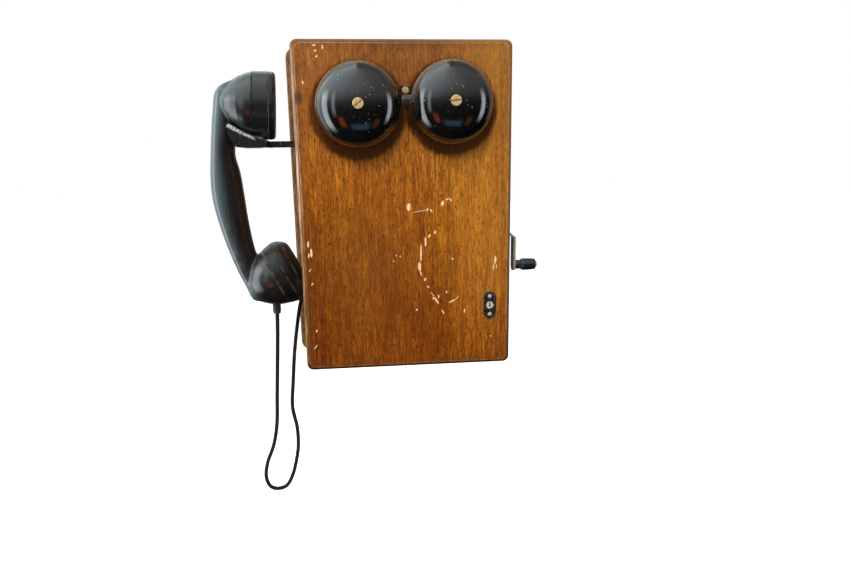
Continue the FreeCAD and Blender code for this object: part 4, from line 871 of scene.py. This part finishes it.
def handle_points(sections):
    """Superellipse rings around the handle's sections."""
    power = 2.0 / HANDLE_SQUARENESS
    verts = []
    for outer_x, outer_z, inner_x, inner_z, width in sections:
        for k in range(HANDLE_SIDES):
            angle = 2 * math.pi * k / HANDLE_SIDES
            c, s = math.cos(angle), math.sin(angle)
            p = math.copysign(abs(c) ** power, c)
            side = width / 2 * math.copysign(abs(s) ** power, s) * (1.0 - HANDLE_TAPER * c)
            verts.append(((outer_x + inner_x) / 2 + (inner_x - outer_x) / 2 * p,
                          HANDSET_Y + side,
                          (outer_z + inner_z) / 2 + (inner_z - outer_z) / 2 * p))
    return verts


def from_axis(points, centre, axis):
    """Distance of points along an axis, and away from it."""
    along = (points - centre) @ axis
    return along, np.linalg.norm((points - centre) - np.outer(along, axis), axis=1)


def smooth_joins(mesh, co):
    """Ease the joins of handle and bowls, leaving the bowls' rims as they are."""
    edges = np.zeros(len(mesh.edges) * 2, int)
    mesh.edges.foreach_get("vertices", edges)
    edges = edges.reshape(-1, 2)
    degree = np.bincount(edges.ravel(), minlength=len(co)).astype(float)[:, None]

    points = co * MM
    z = points[:, 2]
    ear_along, ear_radius = from_axis(points, RECEIVER_CENTRE, RECEIVER_AXIS)
    mouth_along, mouth_radius = from_axis(points, MOUTH_CENTRE, MOUTH_AXIS)
    rims = (((ear_along > -3.0) & (ear_radius < 34) & (z > 40))
            | ((mouth_along > -3.0) & (mouth_radius < 33) & (z < -20)))
    free = np.where(rims, 0.0, 1.0)[:, None]

    # steps in and out keep the volume; the last three only smooth
    for factor in [0.55, -0.40] * 7 + [0.5] * 3:
        total = np.zeros_like(co)
        np.add.at(total, edges[:, 0], co[edges[:, 1]])
        np.add.at(total, edges[:, 1], co[edges[:, 0]])
        co = co + (total / degree - co) * factor * free
    return co


def build_handset():
    """Handle and bowls joined into one remeshed and smoothed body."""
    bakelite = MATERIALS["bakelite_black"]
    sections = spline(HANDLE_SECTIONS, HANDLE_RINGS)
    body = new_object("hs_tube", handle_points(sections),
                      tube_faces(HANDLE_RINGS, HANDLE_SIDES), bakelite)
    bowls = [lathe("hs_rb", RECEIVER_CENTRE, RECEIVER_AXIS, RECEIVER_BOWL, bakelite),
             lathe("hs_tb", MOUTH_CENTRE, MOUTH_AXIS, MOUTH_BOWL, bakelite)]
    for bowl in bowls:
        union = body.modifiers.new("union", "BOOLEAN")
        union.operation = "UNION"
        union.object = bowl
        union.solver = "EXACT"
    apply_modifiers(body)
    for bowl in bowls:
        bpy.data.objects.remove(bowl)
    remesh = body.modifiers.new("remesh", "REMESH")
    remesh.mode = "VOXEL"
    remesh.voxel_size = HANDSET_VOXEL
    remesh.adaptivity = 0.0
    apply_modifiers(body)

    mesh = body.data
    co = np.zeros(len(mesh.vertices) * 3)
    mesh.vertices.foreach_get("co", co)
    co = smooth_joins(mesh, co.reshape(-1, 3))

    # "across" is 0 along the outer edge of the handle and 1 along the inner edge
    flat = co[:, [0, 2]] * MM
    outer, inner = (
        np.min(np.linalg.norm(flat[:, None, :] - sections[None, ::3, columns], axis=2), axis=1)
        for columns in (slice(0, 2), slice(2, 4)))
    across = mesh.attributes.new("across", "FLOAT", "POINT")
    across.data.foreach_set("value", (outer / (outer + inner + 1e-6)).astype(np.float32))

    mesh.vertices.foreach_set("co", (hang(co * MM) / MM).ravel())
    mesh.update()
    mesh.materials.clear()
    mesh.materials.append(MATERIALS["bakelite_handset"])
    shade_smooth(mesh)
    body.name = "handset_body"
    return body


handset = build_handset()
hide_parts("handset_handle")
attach(handset, "handset")

# ---------------------------------------------------------------- crank knob
# A turned knob with a neck, bored for its spindle: distance along +X, radius
KNOB_START = (113.2, -60.0, -60.8)
KNOB_BORE = 2.1
KNOB_PROFILE = [
    (0.0, KNOB_BORE), (0.0, 4.3), (0.35, 4.65), (3.2, 4.5), (5.2, 4.4), (5.6, 4.6), (6.1, 5.35),
    (7.2, 5.85), (9.0, 6.0), (12.0, 5.95), (15.5, 5.8), (18.6, 5.6), (20.0, 5.42), (20.65, 5.1),
    (20.98, 4.5), (21.08, 3.4), (21.08, KNOB_BORE)]
knob = lathe("crank_knob_turned", KNOB_START, (1, 0, 0), KNOB_PROFILE,
             MATERIALS["bakelite_black"], sides=64)
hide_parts("crank_knob")
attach(knob, "knob")


# ---------------------------------------------------------------- cord
def cord_material():
    """Dark braided cloth; cord_uv holds the turn around (0..1) and millimetres along."""
    g = Material("cord_braid")
    around, along, _ = g.xyz(g.source("ShaderNodeAttribute", "Vector", attribute_name="cord_uv"))
    right_hand = (around * BRAID_STRANDS + along * BRAID_TURNS) * (2 * math.pi)
    left_hand = (around * BRAID_STRANDS - along * BRAID_TURNS) * (2 * math.pi)
    weave = g.math("SINE", right_hand) * g.math("SINE", left_hand)
    patches = g.noise(g.mm, 0.12, detail=4, rough=0.6)
    fuzz = g.noise(g.mm, 4.5, detail=3, rough=0.7)
    color = g.mix(patches, (0.007, 0.0042, 0.0022), (0.018, 0.011, 0.006))
    # raised threads painted lighter as a highlight, painted shade in the gaps between them, pale
    # fuzz
    color = g.mix(weave.step(start=0.1, end=0.8, high=0.55), color, (0.024, 0.016, 0.009))
    color = g.mix(weave.step(start=-0.2, end=-0.9, high=0.7), color, (0.006, 0.004, 0.003))
    color = g.mix(fuzz.step(start=0.60, end=0.82, high=0.30), color, (0.10, 0.075, 0.05))
    g.set(base=color, rough=0.85, spec=0.12, sheen=0.08, sheen_rough=0.5,
          normal=g.bump(weave + fuzz * 0.4, strength=0.55, depth=0.0002))


cord_material()

# Cord centre line from the mouthpiece, down and around the loop, up into the case: x, y, z
CORD_POINTS = [
    (-128.4, -54.0, -96.0), (-128.4, -54.0, -104.0), (-129.4, -53.6, -125.0),
    (-131.9, -52.4, -160.0), (-134.6, -50.5, -195.0), (-137.0, -48.2, -225.0),
    (-142.2, -45.6, -250.0), (-150.2, -43.4, -271.0), (-153.2, -41.6, -288.0),
    (-149.6, -40.4, -300.5), (-141.0, -39.9, -304.2), (-131.5, -39.4, -300.8),
    (-124.6, -38.6, -288.0), (-120.2, -37.8, -272.0), (-117.6, -36.8, -256.0),
    (-117.8, -35.4, -236.0), (-121.6, -33.6, -212.0), (-119.4, -32.0, -184.0),
    (-116.0, -30.2, -150.0), (-110.4, -28.0, -114.0), (-106.0, -26.6, -95.0),
    (-101.5, -26.0, -86.4), (-95.0, -26.0, -84.2), (-86.0, -26.0, -84.0), (-76.0, -26.0, -84.0)]


def run_length(path):
    """Length along a path at each of its points."""
    return np.r_[0, np.cumsum(np.linalg.norm(np.diff(path, axis=0), axis=1))]


def cord_strand(name, path, start=0.0):
    """Braided tube along a path; start is the cord length already laid before it."""
    tangents = np.gradient(path, axis=0)
    tangents /= np.linalg.norm(tangents, axis=1)[:, None]
    verts, uvs = [], []
    for centre, tangent, along in zip(path, tangents, run_length(path) + start):
        a = np.cross(tangent, np.array([0.0, 1.0, 0.0]))
        a /= np.linalg.norm(a)
        b = np.cross(tangent, a)
        for k in range(CORD_SIDES):
            angle = 2 * math.pi * k / CORD_SIDES
            around = BRAID_STRANDS * k / CORD_SIDES
            weave = (math.sin(2 * math.pi * (around + BRAID_TURNS * along))
                     * math.sin(2 * math.pi * (around - BRAID_TURNS * along)))
            radius = CORD_RADIUS + BRAID_HEIGHT * weave
            verts.append(centre + a * (radius * math.cos(angle)) + b * (radius * math.sin(angle)))
            uvs.append((k / CORD_SIDES, along, 0))
    ob = new_object(name, verts, tube_faces(len(path), CORD_SIDES), MATERIALS["cord_braid"])
    uv = ob.data.attributes.new("cord_uv", "FLOAT_VECTOR", "POINT")
    uv.data.foreach_set("vector", np.array(uvs, np.float32).ravel())
    face_outward(ob.data)
    return ob


cord_path = spline(CORD_POINTS, 1000)
lowest = int(np.argmin(cord_path[:, 2]))
handset_path = cord_path[:lowest + 1]
handset_strand = cord_strand("cord_handset_strand", handset_path)
case_strand = cord_strand("cord_case_strand", cord_path[lowest:],
                          start=float(run_length(handset_path)[-1]))
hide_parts("handset_cord")
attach(case_strand, "case")
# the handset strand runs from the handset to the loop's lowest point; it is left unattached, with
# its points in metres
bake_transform(handset_strand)

# ---------------------------------------------------------------- floor
FLOOR_SIZE = 9.0                             # metres
FLOOR_Z = -0.62


def floor_material():
    """Near white and self-lit to the camera, almost black in reflections."""
    g = Material("floor_pale")
    patches = g.noise(g.mm, 0.02, detail=3, rough=0.5)
    rays = g.node("ShaderNodeLightPath").outputs
    pale = g.mix(patches, (0.90, 0.90, 0.90), (0.93, 0.93, 0.93))
    g.set(base=g.mix(Wire(g, rays["Is Glossy Ray"]), pale, (0.02, 0.02, 0.02)),
          rough=0.9, spec=0.1, emission=(1.0, 1.0, 1.0),
          emission_strength=Wire(g, rays["Is Camera Ray"]) * 0.75)
    return MATERIALS["floor_pale"]


def build_floor():
    bm = bmesh.new()
    bmesh.ops.create_grid(bm, x_segments=8, y_segments=8, size=FLOOR_SIZE)
    mesh = bpy.data.meshes.new("floor")
    bm.to_mesh(mesh)
    bm.free()
    floor = bpy.data.objects.new("floor", mesh)
    floor.location = (0, 0, FLOOR_Z)
    mesh.materials.append(floor_material())
    scene.collection.objects.link(floor)
    floor.visible_glossy = False
    return floor


build_floor()

# ---------------------------------------------------------------- world
# Brightness by height, from straight down (0) to straight up (1)
HEIGHT_STOPS = [
    (0.22, (0.004, 0.003, 0.003)), (0.42, (0.016, 0.014, 0.013)), (0.50, (0.050, 0.049, 0.048)),
    (0.56, (0.15, 0.15, 0.15)), (0.63, (0.46, 0.465, 0.47)), (0.76, (0.82, 0.82, 0.83)),
    (0.97, (1.0, 1.0, 1.0))]
# Brightness by side, from the left (0) over the viewer's side to the right (1)
SIDE_STOPS = [
    (0.0, (0.86, 0.98, 1.0)), (0.38, (0.60, 0.66, 0.68)), (0.52, (0.42, 0.43, 0.43)),
    (0.68, (0.25, 0.25, 0.25)), (1.0, (0.17, 0.17, 0.17))]
ROOM_GAIN = 2.6
AMBIENT_FILL = 0.30                          # world strength for diffuse rays
# Soft glowing patches: azimuth range in degrees (0 towards the viewer, negative left),
# range of direction z, softness of each, colour, strength
GLOWS = [
    (-92, -66, -0.62, 0.40, 4.0, 0.16, (0.86, 0.96, 1.0), 4.1),
    (-50, -40, -0.22, 0.36, 2.5, 0.14, (0.80, 0.92, 1.0), 1.6),
    (62, 78, -0.40, 0.30, 3.0, 0.16, (0.88, 0.93, 1.0), 3.6),
    (-181, -96, -0.55, 0.75, 8, 0.15, (0.80, 0.93, 1.0), 1.1),
    (104, 181, -0.30, 0.70, 6, 0.15, (0.9, 0.95, 1.0), 0.25),
    (-14, 22, -0.66, -0.46, 6, 0.05, (0.40, 0.66, 1.0), 0.55),
    (-38, -25, -0.58, -0.30, 3, 0.06, (1.0, 0.14, 0.03), 1.5),
    (30, 44, -0.62, -0.36, 4, 0.06, (0.9, 0.30, 0.10), 0.5)]


def between(value, low, high, soft):
    """1 inside low..high with soft shoulders."""
    return (value.step(start=low - soft, end=low + soft)
            * value.step(start=high + soft, end=high - soft))


def build_world():
    """White to the camera; a dim room with windows to every other ray."""
    world = bpy.data.worlds.new("studio")
    scene.world = world
    world.use_nodes = True
    g = Graph(world.node_tree)

    def background(color, strength):
        node = g.node("ShaderNodeBackground")
        g.put(node.inputs[0], color)
        g.put(node.inputs[1], strength)
        return Wire(g, node.outputs[0])

    rays = g.node("ShaderNodeLightPath").outputs
    x, y, z = g.xyz(g.source("ShaderNodeTexCoord", "Generated"))
    azimuth = g.math("ARCTAN2", x, y * -1.0) * (180.0 / math.pi)
    by_height = g.ramp(z.step(start=-1.0, end=1.0, smooth=False), HEIGHT_STOPS)
    by_side = g.ramp(azimuth.step(start=-90.0, end=90.0, smooth=False), SIDE_STOPS)
    sky = g.mix(1.0, by_height, by_side, blend="MULTIPLY")
    sky = g.tinted(sky, (ROOM_GAIN,) * 3)
    # darker behind the telephone
    sky = g.tinted(sky, y.step(start=-0.25, end=0.55, low=1.0, high=0.22))
    for left, right, bottom, top, side_soft, height_soft, color, strength in GLOWS:
        mask = between(azimuth, left, right, side_soft) * between(z, bottom, top, height_soft)
        sky = g.mix(mask * strength, sky, color, blend="ADD", clamp=False)

    diffuse = Wire(g, rays["Is Diffuse Ray"])
    room = background(sky, diffuse.step(start=0.0, end=1.0, low=1.0, high=AMBIENT_FILL,
                                        smooth=False))
    choice = g.node("ShaderNodeMixShader")
    g.put(choice.inputs[0], Wire(g, rays["Is Camera Ray"]))
    g.put(choice.inputs[1], room)
    g.put(choice.inputs[2], background((1, 1, 1), 1.0))
    output = g.node("ShaderNodeOutputWorld")
    g.put(output.inputs[0], Wire(g, choice.outputs[0]))


build_world()


# ---------------------------------------------------------------- lights
def area_light(name, location, target, size, power, color=(1, 1, 1), height=None):
    """Area light aimed at a target and hidden from reflections; height makes it oblong."""
    light = bpy.data.lights.new(name, "AREA")
    light.energy = power
    light.color = color
    light.size = size
    if height:
        light.shape = "RECTANGLE"
        light.size_y = height
    ob = bpy.data.objects.new(name, light)
    ob.location = location
    aim = Vector(target) - Vector(location)
    ob.rotation_euler = aim.to_track_quat("-Z", "Y").to_euler()
    scene.collection.objects.link(ob)
    ob.visible_glossy = False


area_light("key_high_left", location=(-0.34, -1.30, 1.25), target=(0, -0.08, 0.0), size=0.42,
           power=31, color=(1.0, 0.98, 0.94))
area_light("side_left", location=(-1.7, -0.50, 0.40), target=(-0.05, -0.08, 0.0), size=0.7,
           power=17, color=(0.90, 0.97, 1.0), height=1.4)
area_light("front_soft", location=(0.25, -2.3, 0.6), target=(0, -0.1, 0.0), size=1.6,
           power=5.5, color=(1.0, 0.98, 0.95))
area_light("back_left", location=(-1.2, 0.7, 0.6), target=(0, -0.05, 0), size=0.8, power=4)
area_light("back_right", location=(1.2, 0.8, 0.5), target=(0, -0.05, 0), size=0.8, power=4)

# ---------------------------------------------------------------- camera
CAMERA_PLACE = Vector((-0.0398, -0.6809, 0.0457))
CAMERA_YAW = math.radians(5.63)              # to the right of +Y
CAMERA_PITCH = math.radians(12.0)            # downwards
CAMERA_ROLL = math.radians(-0.86)
SENSOR_WIDTH = 36.0
FOCAL_LENGTH = 26.566392


def build_camera():
    forward = Vector((math.sin(CAMERA_YAW) * math.cos(CAMERA_PITCH),
                      math.cos(CAMERA_YAW) * math.cos(CAMERA_PITCH), -math.sin(CAMERA_PITCH)))
    level = Vector((math.cos(CAMERA_YAW), -math.sin(CAMERA_YAW), 0))
    upright = level.cross(forward)
    right = level * math.cos(CAMERA_ROLL) + upright * math.sin(CAMERA_ROLL)
    up = upright * math.cos(CAMERA_ROLL) - level * math.sin(CAMERA_ROLL)
    data = bpy.data.cameras.new("camera")
    data.sensor_fit = "HORIZONTAL"
    data.sensor_width = SENSOR_WIDTH
    data.lens = FOCAL_LENGTH
    data.clip_start = 0.01
    data.clip_end = 60
    camera = bpy.data.objects.new("camera", data)
    rows = [(right[i], up[i], -forward[i], CAMERA_PLACE[i]) for i in range(3)]
    camera.matrix_world = Matrix((*rows, (0, 0, 0, 1)))
    scene.collection.objects.link(camera)
    scene.camera = camera


build_camera()

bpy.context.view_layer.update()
